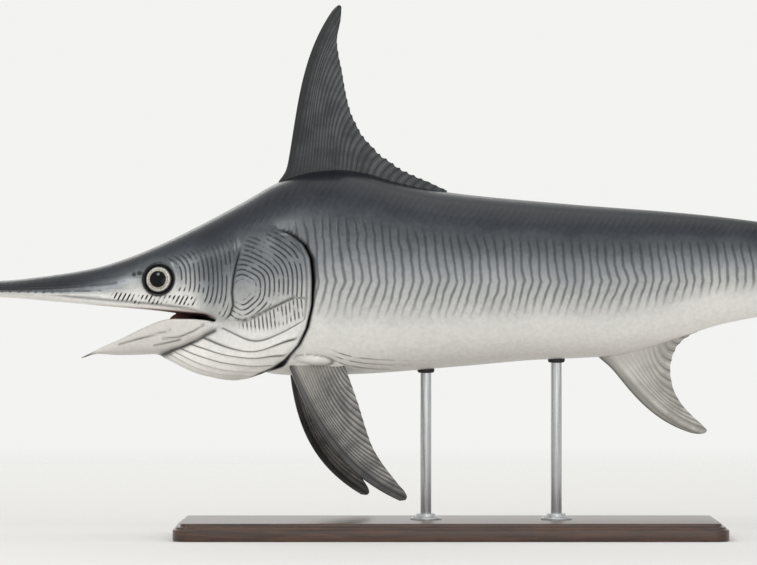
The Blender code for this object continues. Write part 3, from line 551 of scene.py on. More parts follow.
def head_strokes(points):
    """How clear the fine strokes of the head are at each point, and the length they are counted along."""
    x, y, z = mirrored(points)
    belly, back = smooth(BELLY_HEIGHT, x), smooth(BACK_HEIGHT, x)
    past, share = x - across(CHEEK_GROOVE, z), (back - z) / (back - belly)
    # Rings on the cheek round the eye, then lines along the bill, then a row of ticks over the lip.
    cheek_ring = corners(x, z, (EYE_X, EYE_HEIGHT), (118, 62, 2, -52, -88, 150))
    cheek = rise(cheek_ring, 0.046, 0.052) * (1 - rise(past, -0.014, -0.005)) * rise(x, -0.662, -0.64)
    cheek = cheek * rise(z - belly, 0.02, 0.026) * rise(share, 0.2, 0.3) * (y > SIDES_FROM)
    along_bill = (1 - rise(x, -0.77, -0.735)) * bump(share, 0.52, 0.24) * rise(x, -1.45, -1.1)
    off_row = np.abs(z - belly - 0.023 - 0.1 * np.clip(x + 0.7, 0, 1))
    ticks = (1 - rise(off_row, 0.008, 0.0125)) * band(x, -0.785, -0.765, -0.59, -0.575) * (y > SIDES_FROM)
    # The count changes from one kind of stroke to the next only where neither is drawn.
    in_row = (off_row < 0.0155) & (x > -0.79) & (x < -0.571)
    apart = np.maximum(rise(off_row, 0.0185, 0.023), 1 - rise(x, -0.802, -0.794) + rise(x, -0.567, -0.56))
    scored = np.where(in_row, 1.6 * ticks, apart * np.maximum(cheek, 0.7 * along_bill))
    counted = np.where(x < -0.7, BILL_LINES * STROKE_SPACING * share, cheek_ring)
    return scored, np.where(in_row, x - 0.55 * z, counted)


push, furrow = head_relief(read(body))
scored, ring = head_strokes(read(body))
note(body, furrow=furrow, scored=scored, ring=ring)
move_out(body, push)
print("head relief mm:", round(1000 * push.min(), 2), "to", round(1000 * push.max(), 2))

# %% Sink the skin under the gill cover, and swell it round the pectoral fins
RECESS = 0.0042


def shoulder_relief(points):
    """The bed of the gill cover, the lobe over each pectoral fin, the belly's middle groove and the vent."""
    x, y, z = mirrored(points)
    front, rear = x - across(CHEEK_GROOVE, np.clip(z, 0.494, 0.676)), x - across(GILL_MARGIN, z)
    under = rise(front, -0.002, 0.004) * (1 - rise(rear, 0, 0.007)) * (1 - rise(z, 0.69, 0.702))
    under = under * (1 - rise(z, 0.645, 0.668) * (1 - rise(front, 0.01, 0.03)))
    lobe = lobe_radius(x, z)
    swell = 0.0055 * (1 - rise(lobe, 0.25, 1)) - 0.002 * bump(lobe, 1.1, 0.16)
    groove = 0.0022 * band(x, -0.27, -0.2, 0.3, 0.42) * bump(y, 0, 0.01)
    vent = 0.003 * bump(x, 0.318, 0.018) * bump(y, 0, 0.007)
    return rise(rear, 0.002, 0.01) * (y > 0.02) * swell - RECESS * under - (groove + vent) * (z < 0.5)


push = shoulder_relief(read(body))
move_out(body, push)
print("shoulder relief mm:", round(1000 * push.min(), 2), "to", round(1000 * push.max(), 2))

# %% [markdown]
# ## The gill cover and the throat
# Behind the cheek lies the gill cover: a thin bony plate with a free rear edge. Below it, the skin of
# the throat hangs in folds over the branchiostegal rays, and it wraps round under the breast to the
# other side. A step pushed into the body's net would look like a moulded toy, because a real gill
# cover has an open slit under its edge. So both covers and the throat are made as one sheet, wrapped
# from side to side, given a thickness, and joined to the body afterwards.

# %% The form that the sheet lies on
THROAT_TOP = [(-0.677, 0.458), (-0.628, 0.478), (-0.59, 0.495), (-0.545, 0.505), (-0.49, 0.503),
              (-0.43, 0.515), (-0.345, 0.543), (-0.29, 0.558)]
THROAT_BOTTOM = [(-0.677, 0.419), (-0.649, 0.409), (-0.598, 0.3885), (-0.55, 0.3755), (-0.508, 0.3685),
                 (-0.45, 0.371), (-0.41, 0.38), (-0.29, 0.4)]
THROAT_WIDEST = [(-0.677, 0.4320), (-0.598, 0.4420), (-0.543, 0.4580), (-0.476, 0.4680), (-0.290, 0.4800)]
THROAT_HALF_WIDTH = [(-0.677, 0.016), (-0.649, 0.031), (-0.598, 0.052), (-0.543, 0.074), (-0.476, 0.106),
                     (-0.432, 0.118), (-0.29, 0.118)]
THROAT_SQUARE = 2.2
MIDDLE_LINE = [(-0.700, 0.437), (-0.598, 0.455), (-0.543, 0.475), (-0.476, 0.505), (-0.280, 0.540)]
form_x = np.linspace(-0.700, -0.280, 106)
form_turn = np.radians(np.linspace(-90, 78, 169))


def throat_reach(x, height):
    """How far the throat's own form reaches sideways at a height."""
    top, widest, bottom = (float(smooth(line, x)) for line in (THROAT_TOP, THROAT_WIDEST, THROAT_BOTTOM))
    span = np.where(height < widest, widest - bottom, top + 0.012 - widest)
    off = np.clip(np.abs(height - widest) / span, 0, 1)
    return smooth(THROAT_HALF_WIDTH, x) * (1 - off**THROAT_SQUARE) ** (1 / THROAT_SQUARE)


def form_radii():
    """The form's distance from a line inside it, for each place along and each turn round."""
    steps = np.arange(0, 0.34, 0.001)
    radii = np.zeros((len(form_x), len(form_turn)))
    for i, x in enumerate(form_x):
        y = np.outer(np.cos(form_turn), steps)
        z = smooth(MIDDLE_LINE, x) + np.outer(np.sin(form_turn), steps)
        inside = np.maximum(flank(body_half(x), z), throat_reach(x, z)) - y
        last = len(steps) - 1 - np.argmax(inside[:, ::-1] >= 0, axis=1)
        last = np.clip(last, 0, len(steps) - 2)
        here = np.take_along_axis(inside, last[:, None], 1)[:, 0]
        after = np.take_along_axis(inside, last[:, None] + 1, 1)[:, 0]
        radii[i] = steps[last] + 0.001 * np.clip(here / np.maximum(here - after, 1e-9), 0, 1)
    return radii


def softened(values, reach, axis):
    """Averages a table along one axis with a bell-shaped weight."""
    offsets = np.arange(-3 * reach, 3 * reach + 1)
    weights = np.exp(-0.5 * (offsets / reach) ** 2)
    padded = np.pad(values, [(3 * reach, 3 * reach) if a == axis else (0, 0) for a in range(2)], mode="edge")
    parts = [w * np.take(padded, range(o + 3 * reach, o + 3 * reach + values.shape[axis]), axis)
             for o, w in zip(offsets, weights)]
    return sum(parts) / weights.sum()


radii = softened(softened(form_radii(), 2, 0), 2, 1)
print("form radii mm:", round(1000 * radii.min()), round(1000 * radii.max()))


def form_at(x, turn):
    """Points of the form at places along X and turns round it, with y outwards."""
    i = np.clip((x - form_x[0]) / (form_x[1] - form_x[0]), 0, len(form_x) - 1.001)
    j = np.clip((turn - form_turn[0]) / (form_turn[1] - form_turn[0]), 0, len(form_turn) - 1.001)
    a, b = i.astype(int), j.astype(int)
    u, v = i - a, j - b
    radius = ((1 - u) * (1 - v) * radii[a, b] + u * (1 - v) * radii[a + 1, b]
              + (1 - u) * v * radii[a, b + 1] + u * v * radii[a + 1, b + 1])
    return np.stack([x, radius * np.cos(turn), smooth(MIDDLE_LINE, x) + radius * np.sin(turn)], axis=-1)


# %% Where the sheet begins and ends
# Each row is one line across the sheet, from its start, ahead, to its end, at the free edge. The rows
# of the throat sag on the way, so they have two more points. The last row is the middle line below.
SHEET_ROWS = (((-0.468, 0.706), (-0.412, 0.712)), ((-0.483, 0.676), (-0.375, 0.7)),
              ((-0.4885, 0.645), (-0.338, 0.674)), ((-0.4975, 0.615), (-0.3205, 0.64)),
              ((-0.503, 0.585), (-0.3155, 0.6)), ((-0.5045, 0.555), (-0.315, 0.57)),
              ((-0.504, 0.53), (-0.3155, 0.545)), ((-0.516, 0.507), (-0.318, 0.525)),
              ((-0.5384, 0.489), (-0.4664, 0.4565), (-0.3945, 0.4665), (-0.3225, 0.507)),
              ((-0.5803, 0.463), (-0.4997, 0.4345), (-0.4191, 0.4355), (-0.3385, 0.459)),
              ((-0.6111, 0.449), (-0.5301, 0.424), (-0.449, 0.414), (-0.368, 0.421)),
              ((-0.6357, 0.4395), (-0.555, 0.412), (-0.4742, 0.3985), (-0.3935, 0.3995)),
              ((-0.648, 0.433), (-0.5713, 0.401), (-0.4947, 0.3865), (-0.418, 0.3865)),
              ((-0.656, 0.427), (-0.584, 0.393), (-0.512, 0.378), (-0.44, 0.378)),
              ((-0.668, None), (-0.472, None)))
FIRST_FOLD = 8


def turn_at(x, height):
    """The turn round the form at which it has a given height."""
    if height is None:
        return form_turn[0]
    heights = form_at(np.full(len(form_turn), x), form_turn)[:, 2]
    return float(np.interp(height, heights, form_turn))


def four_points(row):
    """A row as four (x, turn) points. A row that is given by its two ends runs straight."""
    points = np.array([(x, turn_at(x, z)) for x, z in row])
    if len(row) == 4:
        return points
    return np.column_stack([np.interp(np.linspace(0, 1, 4), [0, 1], ends) for ends in points.T])


lines = np.array([four_points(row) for row in SHEET_ROWS])
places = form_at(lines[:, :, 0], lines[:, :, 1])
row_steps = np.linalg.norm(np.diff(places, axis=0), axis=2).mean(axis=1)
row_at = np.concatenate([[0], np.cumsum(row_steps)])
print("sheet rows at mm:", np.round(1000 * row_at))

# %% Wrap the sheet
# The net is finer over the folds of the throat than over the plate.
down_side = spans((0, row_at[FIRST_FOLD], 0.0044), (row_at[FIRST_FOLD], row_at[-1], 0.0021))
back_steps = 62


def along_rows(k):
    """One of the sheet's two values, x or turn, at each place down the side and along it."""
    four = [smooth(list(zip(row_at, lines[:, e, k])), down_side)[:, None] for e in range(4)]
    t = 3 * np.linspace(0, 1, back_steps + 1)
    weights = (-(t - 1) * (t - 2) * (t - 3) / 6, t * (t - 2) * (t - 3) / 2,
               -t * (t - 1) * (t - 3) / 2, t * (t - 1) * (t - 2) / 6)
    return sum(weight * value for weight, value in zip(weights, four))


half_sheet = form_at(along_rows(0), along_rows(1))
half_sheet[-1, :, 1] = 0
length = np.linalg.norm(np.diff(half_sheet, axis=1), axis=2).sum(axis=1)
sheet, row, column = net("gill_sheet", np.concatenate([half_sheet, (half_sheet * [1, -1, 1])[-2::-1]]))
row = np.where(row >= len(down_side), 2 * len(down_side) - 2 - row, row)
faces_out(sheet)
if (read(sheet, "normal") * (read(sheet) - [-0.45, 0, 0.55])).sum() < 0:
    sheet.data.flip_normals()
print("sheet faces:", len(sheet.data.polygons))

# %% [markdown]
# ## Folds of the throat and the plate's edge
# The gill cover has a curved groove where its lower bone begins. Below it each fold of the throat laps
# over the next one like a roof tile: it rises slowly and drops at its lower edge, which throws the dark
# line that the drawing shows. These are real relief, and painted shade darkens the groove, the lower
# edge of each fold and a line inside the free edge as well. The fine rings round the point where the
# plate grew from are only written on the mesh here, and the finish draws them.

# %% Raise the folds
LOWER_GROOVE = ((-0.4844, 0.4998), (-0.475, 0.498), (-0.4485, 0.5055), (-0.42, 0.5214), (-0.391, 0.5345),
                (-0.3565, 0.551))
GROWTH_POINT, RIB_SPACING, TILE_CREST = (-0.4740, 0.5700), 0.0092, 0.84
fold_at = np.array([*row_at[FIRST_FOLD:-1], 0.5 * (row_at[-2] + row_at[-1]), row_at[-1] + 0.001])


def near_line(line, x, z, steps=60):
    """Distance to a line in the side view, and the length along it at the nearest place."""
    line = np.array(line)
    run = run_along(line)
    at = np.linspace(0, run[-1], steps)
    px, pz = (np.interp(at, run, values) for values in line.T)
    gap = np.hypot(x[:, None] - px, z[:, None] - pz)
    k = gap.argmin(axis=1)
    return gap[np.arange(len(x)), k], at[k]


def sheet_relief(points, down, back, to_edge):
    """How far each point of the sheet stands off the form, the painted shade of its furrows, its strokes and
    their count.
    """
    x, _, z = points.T
    push = -0.0045 + 0.0045 * rise(back, 0.001, 0.007) + 0.005 * rise(back, 0.004, 0.11)
    push += 0.0022 * rise(-to_edge, -0.055, -0.008)
    push -= 0.0042 * (1 - rise(to_edge, 0, 0.005))
    push = rise(down, 0.004, 0.045) * np.maximum(push, 0) + np.minimum(push, 0)
    push -= 0.004 * (1 - rise(down, 0, 0.012))
    # The folds of the throat, one roof tile after another.
    below = down - row_at[FIRST_FOLD]
    in_throat = rise(below, -0.004, 0.004)
    k = np.clip(np.searchsorted(fold_at, down) - 1, 0, len(fold_at) - 2)
    into = np.clip((down - fold_at[k]) / (fold_at[k + 1] - fold_at[k]), 0, 1)
    tile = np.where(into < TILE_CREST, (into / TILE_CREST) ** 1.3, 1 - (into - TILE_CREST) / (1 - TILE_CREST))
    reach = rise(back, 0.004, 0.022) * rise(to_edge, 0.006, 0.026)
    push += in_throat * reach * (0.004 * tile - 0.001) * (0.35 + 0.65 * rise(back, 0.01, 0.09))
    lap = in_throat * reach * np.maximum(bump(into, 0.96, 0.12), bump(into, -0.04, 0.08)) * (into != 0)
    first = bump(below, 0, 0.0026) * reach
    # The groove over the lower bone, and the line inside the free edge.
    gap, _ = near_line(LOWER_GROOVE, x, z)
    groove = (1 - in_throat) * bump(gap, 0, 0.0032) * rise(back, 0.012, 0.03)
    rim = bump(to_edge, 0.0115, 0.0024) * rise(down, 0.03, 0.08) * (1 - 0.8 * in_throat)
    push -= 0.002 * groove + 0.0008 * rim + 0.0012 * first
    # Growth rings on the plate above the groove, and upright ribs on the bone below it.
    plate = z > np.interp(x, *np.array(LOWER_GROOVE).T)
    growth = corners(x, z, GROWTH_POINT, (63, 0, -52, -125, 180, 125))
    rings = rise(down, 0.012, 0.035) * rise(growth, 0.016, 0.026)
    ribs = (1 - rise(below, -0.022, -0.014)) * rise(x, -0.486, -0.472)
    scored = rise(back, 0.006, 0.02) * rise(to_edge, 0.01, 0.022) * rise(gap, 0.002, 0.007)
    scored = scored * np.where(plate, rings, ribs)
    ring = np.where(plate, growth, STROKE_SPACING / RIB_SPACING * (x + 0.1 * z))
    # The furrow mark is painted shade in the groove, under the lower edge of each fold and inside the free
    # edge.
    return push, np.maximum.reduce([1.1 * groove, lap, first, 0.8 * rim]), scored, ring


down, back_share = down_side[row], column / back_steps
back, to_edge = back_share * length[row], (1 - back_share) * length[row]
push, furrow, scored, ring = sheet_relief(read(sheet), down, back, to_edge)
note(sheet, furrow=furrow, scored=scored, ring=ring)
move_out(sheet, push)
print("sheet relief mm:", round(1000 * push.min(), 2), "to", round(1000 * push.max(), 2))

# %% Give the sheet its thickness
WALL, FRONT_WALL, REAR_WALL, EDGE_WALL = 0.014, 0.0045, 0.0065, 0.003
thick = EDGE_WALL + (REAR_WALL - EDGE_WALL) * rise(to_edge, 0.002, 0.03)
thick = thick + (WALL - REAR_WALL) * rise(to_edge, 0.03, 0.07)
thick = np.minimum(thick, FRONT_WALL + (WALL - FRONT_WALL) * rise(back, 0.002, 0.03))
group = sheet.vertex_groups.new(name="wall")
for value in np.unique(np.round(thick, 4)):
    group.add([int(i) for i in np.nonzero(np.round(thick, 4) == value)[0]], float(value) / WALL, "REPLACE")
wall = sheet.modifiers.new("wall", "SOLIDIFY")
wall.thickness, wall.offset, wall.vertex_group, wall.use_rim = WALL, -1, "wall", True
apply_all(sheet)
faces_out(sheet, close=True)
print("sheet open edges:", open_edges(sheet))

# %% [markdown]
# ## The floor of the mouth
# Between the jaw and the throat lies the tongue and the flesh under it. It is a low rounded form, most
# of it hidden, and it fills the inside of the throat so that the mouth has a floor.

# %% Wrap the mouth's floor
FLOOR_TOP = [(-0.76, 0.44), (-0.735, 0.4445), (-0.7, 0.451), (-0.677, 0.459), (-0.66, 0.476),
             (-0.64, 0.508), (-0.62, 0.518), (-0.545, 0.518), (-0.44, 0.506)]
FLOOR_BOTTOM = [(-0.76, 0.43), (-0.7, 0.426), (-0.677, 0.4205), (-0.649, 0.41), (-0.598, 0.3915),
                (-0.55, 0.3795), (-0.508, 0.3725), (-0.44, 0.376)]
FLOOR_HALF_WIDTH = [(-0.76, 0.006), (-0.735, 0.013), (-0.7, 0.02), (-0.677, 0.022), (-0.649, 0.03),
                    (-0.598, 0.05), (-0.543, 0.07), (-0.476, 0.1), (-0.44, 0.111)]
FLOOR_SQUARE = 2.3


def floor_table(around=48):
    turn = np.linspace(0, 2 * np.pi, around + 1)
    rings = []
    for x in spans((-0.760, -0.757, 0.001), (-0.757, -0.455, 0.006)):
        top, low, half = (float(smooth(line, x)) for line in (FLOOR_TOP, FLOOR_BOTTOM, FLOOR_HALF_WIDTH))
        sideways, upwards = (np.sign(wave) * np.abs(wave) ** (2 / FLOOR_SQUARE)
                             for wave in (np.sin(turn), np.cos(turn)))
        shrink = blunt(x, -0.76, 0.004, 0.05)
        reach, lift = sideways * half * shrink, upwards * (top - low) / 2 * shrink
        groove = 0.0022 * bump(reach, 0, 0.006) * (lift > 0) * rise(x, -0.75, -0.72)
        rings.append(np.column_stack([np.full(around + 1, x), reach, (top + low) / 2 + lift - groove]))
    return np.array(rings)


mouth_floor, _, _ = net("mouth_floor", floor_table())
faces_out(mouth_floor, close=True)
print("floor open edges:", open_edges(mouth_floor))

# %% [markdown]
# ## The lower jaw
# The lower jaw of a full-grown swordfish is short and pointed, and reaches less than half way along
# the bill. It is a trough, open above, with soft lips and hardly a tooth. Each ring of the net runs
# down the outside, round the keel, over the lips and along the inside of the trough.

# %% Wrap the jaw
JAW_END = -0.500
JAW_LIP_HEIGHT = [(-0.847, 0.4125), (-0.7935, 0.4390), (-0.7652, 0.4510), (-0.7077, 0.4785), (-0.668, 0.4955),
                  (-0.6486, 0.5005), (-0.628, 0.5020), (-0.590, 0.5015), (-0.545, 0.4985), (JAW_END, 0.4985)]
JAW_KEEL_HEIGHT = [(-0.847, 0.4110), (-0.807, 0.4205), (-0.7635, 0.4180), (-0.672, 0.4205), (-0.623, 0.4315),
                   (-0.575, 0.4560), (-0.540, 0.4730), (JAW_END, 0.4800)]
JAW_HALF_WIDTH = [(-0.847, 0.0020), (-0.805, 0.0200), (-0.745, 0.0400), (-0.685, 0.0570), (-0.644, 0.0680),
                  (-0.575, 0.0825), (-0.545, 0.0860), (JAW_END, 0.0800)]
JAW_SQUARE = [(-0.847, 2.2), (-0.745, 2.4), (-0.660, 3.2), (-0.600, 4.5), (JAW_END, 4.5)]
JAW_FURROWS = (((-0.759, 0.4432), (-0.698, 0.46), (-0.6403, 0.4754)),
               ((-0.6573, 0.4563), (-0.6173, 0.4609), (-0.5865, 0.474), (-0.564, 0.4871)),
               ((-0.6774, 0.4407), (-0.647, 0.447), (-0.6173, 0.454)))
JAW_TIP, JAW_WALL, LIP_STEPS, FURROW_DEPTH = -0.847, 0.0088, 6, 0.0011


def trough_curve(half, level, depth, square, turn):
    """Half a flat-bottomed oval that hangs from a level, for turns from 0 at its right to pi at its left."""
    sideways = np.abs(np.cos(turn)) ** (2 / square) * np.sign(np.cos(turn))
    return np.column_stack([sideways * half, level - depth * np.sin(turn) ** (2 / square)])


def jaw_table(outer_steps=56, inner_steps=28):
    rings = []
    for x in spans((JAW_TIP, -0.843, 0.0008), (-0.843, JAW_END, 0.0035)):
        half, lip, keel, square = (float(smooth(line, x)) for line in
                                   (JAW_HALF_WIDTH, JAW_LIP_HEIGHT, JAW_KEEL_HEIGHT, JAW_SQUARE))
        wall_here = min(JAW_WALL, 0.46 * half)
        lip_radius = wall_here / 2
        half, lip = half * blunt(x, JAW_TIP, 0.005, 0.1), lip - 0.8 * lip_radius
        depth = max(lip - keel, 0.0012)
        hollow = depth * (0.12 + 0.66 * float(rise(x, -0.842, -0.775)))
        outer = trough_curve(half, lip, depth, square, np.linspace(0, np.pi, outer_steps + 1))
        inner = trough_curve(half - wall_here, lip, hollow, square, np.linspace(np.pi, 0, inner_steps + 1))
        over = np.linspace(0, np.pi, LIP_STEPS + 1)[1:-1]
        crest = lip + 0.8 * lip_radius * np.sin(over)
        left = np.column_stack([lip_radius * (1 - np.cos(over)) - half, crest])
        right = np.column_stack([half - lip_radius * (1 + np.cos(over)), crest])
        ring = np.vstack([outer, left, inner, right, outer[:1]])
        rings.append(np.column_stack([np.full(len(ring), x), ring]))
    return np.array(rings)


jaw, _, _ = net("jaw", jaw_table())
faces_out(jaw, close=True)
print("jaw open edges:", open_edges(jaw), "faces:", len(jaw.data.polygons))

# %% Score the furrows of the jaw
x, y, z = mirrored(read(jaw))
outside = read(jaw, "normal")[:, 1] * np.sign(read(jaw)[:, 1]) > 0.2
furrow = np.zeros(len(x))
for line in JAW_FURROWS:
    gap, at = near_line(line, x, z)
    furrow = np.maximum(furrow, outside * bump(gap, 0, 0.0022) * (0.5 + 0.5 * bump(at, 0.05, 0.05)))
# The furrows are sunk into the jaw, and the finish gives them painted shade.
note(jaw, furrow=furrow)
move_out(jaw, -FURROW_DEPTH * furrow)
print("points in the jaw's furrows:", int((furrow > 0.5).sum()))

# %% [markdown]
# ## One skin
# The four closed forms are joined into one by a Boolean union, as flesh that grew together. The union
# leaves a hard crease wherever two forms cross, so the points on each crease, and a ring of points
# round them, are relaxed. At the top of the gill cover, where the real skin runs on without a line,
# at the corner between jaw and throat, and round the lobe over the pectoral fin, they are relaxed more.

# %% Join the forms


def marks_of(points):
    """Each point's place in hundredths of a millimetre, as whole numbers that can be compared."""
    return list(map(tuple, np.round(points * 1e5).astype(int)))


known = set(marks_of(np.vstack([read(piece) for piece in (body, sheet, mouth_floor, jaw)])))
for part in (mouth_floor, jaw, sheet):
    joined = body.modifiers.new("join", "BOOLEAN")
    joined.operation, joined.solver, joined.object = "UNION", "MANIFOLD", part
    apply_all(body)
    bpy.data.objects.remove(part)
skin = body
print("skin faces:", len(skin.data.polygons), "open edges:", open_edges(skin))

# %% Relax the creases


def below_form(points):
    """How deep points lie under the form that the sheet was laid on."""
    x, y, z = mirrored(points)
    middle = smooth(MIDDLE_LINE, x)
    turn = np.clip(np.arctan2(z - middle, y), form_turn[0], form_turn[-1])
    on_form = form_at(np.clip(x, form_x[0], form_x[-1]), turn)
    return np.hypot(on_form[:, 1], on_form[:, 2] - middle) - np.hypot(y, z - middle)


def relax(piece, chosen, times, grow=0):
    """Smooths the chosen points, after growing the choice by a number of rings."""
    only(piece)
    bpy.ops.object.mode_set(mode="EDIT")
    bpy.ops.mesh.select_mode(type="VERT")
    bpy.ops.mesh.select_all(action="DESELECT")
    bpy.ops.object.mode_set(mode="OBJECT")
    piece.data.vertices.foreach_set("select", chosen)
    bpy.ops.object.mode_set(mode="EDIT")
    for _ in range(grow):
        bpy.ops.mesh.select_more()
    bpy.ops.mesh.vertices_smooth(factor=0.5, repeat=times)
    bpy.ops.object.mode_set(mode="OBJECT")


def within(x, z, box):
    """Which points are in a box in the side view, given by its centre and its half length and height."""
    centre, reach = box
    return (np.abs(x - centre[0]) < reach[0]) & (np.abs(z - centre[1]) < reach[1])


x, y, z = mirrored(read(skin))
crease = np.array([mark not in known for mark in marks_of(read(skin))])
relax(skin, crease & (np.abs(x - across(GILL_MARGIN, z)) >= 0.012), 5, grow=1)
print("crease points:", int(crease.sum()))

# %% Relax the forms that run on
COVER_TOP, JAW_CORNER = ((-0.4345, 0.697), (0.0395, 0.025)), ((-0.532, 0.4855), (0.02, 0.0195))
LOBE_ROUND, LOBE_FRONT = (LOBE_CENTRE, (0.052, 0.026)), ((-0.336, 0.42), (0.012, 0.012))
places = read(skin)
x, y, z = mirrored(places)
run_on = within(x, z, COVER_TOP) & (y > 0.04)
run_on |= within(x, z, JAW_CORNER) & (y > 0.05)
run_on |= (z > 0.656) & (z < 0.712) & (np.abs(x - across(CHEEK_GROOVE, z)) < 0.014)
relax(skin, run_on, 24)
past = x - across(GILL_MARGIN, z)
relax(skin, (past > 0.0015) & (past < 0.032) & (z < 0.47) & (below_form(places) > -0.002), 10)
for box, times in ((LOBE_ROUND, 4), (LOBE_FRONT, 24)):
    relax(skin, within(x, z, box) & (past > 0.004) & (y > SIDES_FROM), times)
print("points relaxed where the skin runs on:", int(run_on.sum()))

# %% [markdown]
# ## Fins
# A swordfish's fins are stiff blades of skin over close-set rays, thick at the leading edge and thin
# behind. Each fin is a leaf folded along its free edge: the middle column of the net is the edge, and
# its two sides are the two faces of the fin. The rays are low ridges that fork towards the edge, and
# between their tips the edge is a little ragged. The root lies inside the body.

# %% Outlines of the fins
DORSAL_ROOT = [(-0.3835, 0.806), (-0.300, 0.825), (-0.235, 0.828), (-0.150, 0.806), (-0.009, 0.778)]
DORSAL_EDGE = [(-0.27, 1.2105), (-0.262, 1.219), (-0.2545, 1.2232), (-0.2492, 1.219), (-0.25, 1.198),
               (-0.259, 1.143), (-0.248, 1.074), (-0.233, 0.998), (-0.208, 0.938), (-0.169, 0.89),
               (-0.104, 0.844), (-0.05, 0.818), (-0.006, 0.797)]
ANAL_ROOT = [(0.3420, 0.4300), (0.4600, 0.4530), (0.5600, 0.4850), (0.6660, 0.5120)]
ANAL_EDGE = [(0.556, 0.2388), (0.571, 0.2366), (0.586, 0.238), (0.5922, 0.2436), (0.5842, 0.254),
             (0.558, 0.278), (0.53, 0.31), (0.513, 0.345), (0.5075, 0.383), (0.52, 0.432), (0.576, 0.474),
             (0.67, 0.499)]
SECOND_DORSAL_ROOT = [(0.8620, 0.6900), (0.9230, 0.6810)]
SECOND_DORSAL_EDGE = [(0.9350, 0.7430), (0.9260, 0.7160), (0.9480, 0.7000), (0.9880, 0.6960)]
SECOND_ANAL_ROOT = [(0.8420, 0.5410), (0.9030, 0.5500)]
SECOND_ANAL_EDGE = [(0.9160, 0.4880), (0.9060, 0.5130), (0.9280, 0.5290), (0.9690, 0.5350)]
TAIL_MIDDLE = 0.6155
TAIL_ROOT = [(1.0950, 0.0370), (1.1250, 0.0200), (1.1400, 0.0000)]
TAIL_UPPER_EDGE = [(1.32, 0.405), (1.284, 0.313), (1.248, 0.217), (1.219, 0.117), (1.202, 0.044),
                   (1.198, 0.0)]
TAIL_LOWER_EDGE = [(1.3, -0.385), (1.268, -0.298), (1.237, -0.208), (1.212, -0.113), (1.2, -0.043),
                   (1.198, 0.0)]
PECTORAL_EDGE = [(0.25, 0.329), (0.262, 0.3275), (0.2665, 0.32), (0.244, 0.286), (0.2158, 0.248),
                 (0.192, 0.208), (0.1735, 0.157), (0.1635, 0.1214), (0.1461, 0.0667), (0.126, 0.01)]
PECTORAL_ROOT = [(-0.0140, -0.0300), (0.1120, -0.0300)]
print("top of the back fin mm:", round(1000 * max(height for _, height in DORSAL_EDGE)))

# %% A fin's two faces


def along(points, share):
    """Points at shares of the length of a smooth curve through 2-D points."""
    points, run = np.array(points, float), run_along(points)
    return np.stack([smooth(list(zip(run, values)), share * run[-1]) for values in points.T], axis=-1)


def fin_face(root, edge, bow, rays, thickness, seed, ragged=0.0, camber=0.0, per_ray=6, rows=44,
             skew=0.0, lean=0.0, heel=(0.0, 0.1)):
    """The middle of a fin as (along, out) points, with half its thickness, ray number, reach and curl.

    Bow bends the rays, and skew moves the bend towards the free edge. Lean draws the roots of the middle
    rays forwards, heel fills or hollows the foot of the front edge, and camber curls the blade sideways.
    """
    spine, thinnest = 0.02, 0.0009
    shares = np.concatenate([spine * np.linspace(0, 1, 9)[:-1] ** 1.8, np.linspace(spine, 1, rays * per_ray)])
    number = np.interp(shares, [0, spine, 1], [0.0, 0.5, rays + 0.5])
    out = np.linspace(0, 1, rows) ** 0.92
    random = np.random.default_rng(seed)
    depth = np.interp(number, np.arange(rays + 2), random.uniform(0.35, 1.0, rays + 2))
    notch = ragged * depth * np.abs(np.sin(np.pi * number)) ** 0.7 * rise(shares, 0.06, 0.12)
    notch = notch * (1 - 0.7 * rise(shares, 0.8, 1))
    start, end = along(root, shares - lean * shares**2 * (1 - shares)), along(edge, shares)
    ray = end - start
    end = end - ray * (notch / np.maximum(np.linalg.norm(ray, axis=1), 0.02))[:, None]
    ray = end - start
    across_it = np.stack([-ray[:, 1], ray[:, 0]], axis=1) / np.linalg.norm(ray, axis=1)[:, None]
    r = out[:, None, None]
    bend = 4 * r * (1 - r) * (1 + skew * (2 * r - 1))
    points = start + ray * r - across_it * (bow * (1 - shares))[:, None] * bend
    points -= across_it * (heel[0] * bump(shares, 0, 0.06))[:, None] * bump(r, 0, heel[1])
    profile = np.sqrt(1 - (1 - np.minimum(1, shares / spine)) ** 2)
    profile = profile * (1 - 0.72 * shares) * rise(1 - shares, 0, 0.004)
    half = thinnest + (thickness - thinnest) * (1 - out[:, None]) ** 0.85
    half = half * profile * np.sqrt(np.clip((1 - out[:, None]) / 0.02, 0, 1))
    # The rays are ridges between the webs, and fork half way out.
    fork = rise(out, 0.45, 0.75)[:, None]
    ridge = (1 - fork) * np.cos(2 * np.pi * number) + fork * np.cos(4 * np.pi * number)
    width = np.linalg.norm(np.diff(points, axis=1), axis=2).mean(axis=1).mean() * per_ray
    height = min(0.0011, 0.12 * width) * (1 - 0.55 * out) * rise(1 - out, 0, 0.05) * rise(out, 0.12, 0.3)
    height = height[:, None] * rise(shares, 0.3 * spine, 2 * spine) * rise(1 - shares, 0, 0.03)
    half = half + height * (0.5 + 0.5 * ridge)
    half[-1] = 0
    half[:, 0] = 0
    side = camber * (out**2)[:, None]
    return points, half, np.broadcast_to(number, half.shape), np.broadcast_to(out[:, None], half.shape), side


def fold_fin(name, faces, place, flare=0.0030, reach=0.10):
    """Folds a fin's leaf along its free edge and closes it. Place sets (along, out, side) in space."""
    points, half, number, out, side = faces
    half = half + flare * bump(out, 0, reach) * (half > 0)
    near, far = (place(points[..., 0], points[..., 1], side + sign * half) for sign in (1, -1))
    piece, row, column = net(name, np.concatenate([near, far[-2::-1]]))
    row = np.where(row < len(near), row, 2 * len(near) - 2 - row)
    note(piece, ray=number[row, column], out=out[row, column])
    faces_out(piece, close=True)
    print(name, "faces:", len(piece.data.polygons), "open edges:", open_edges(piece))
    return piece


def upright(along_it, height, side):
    return np.stack([along_it, side, height], axis=-1)


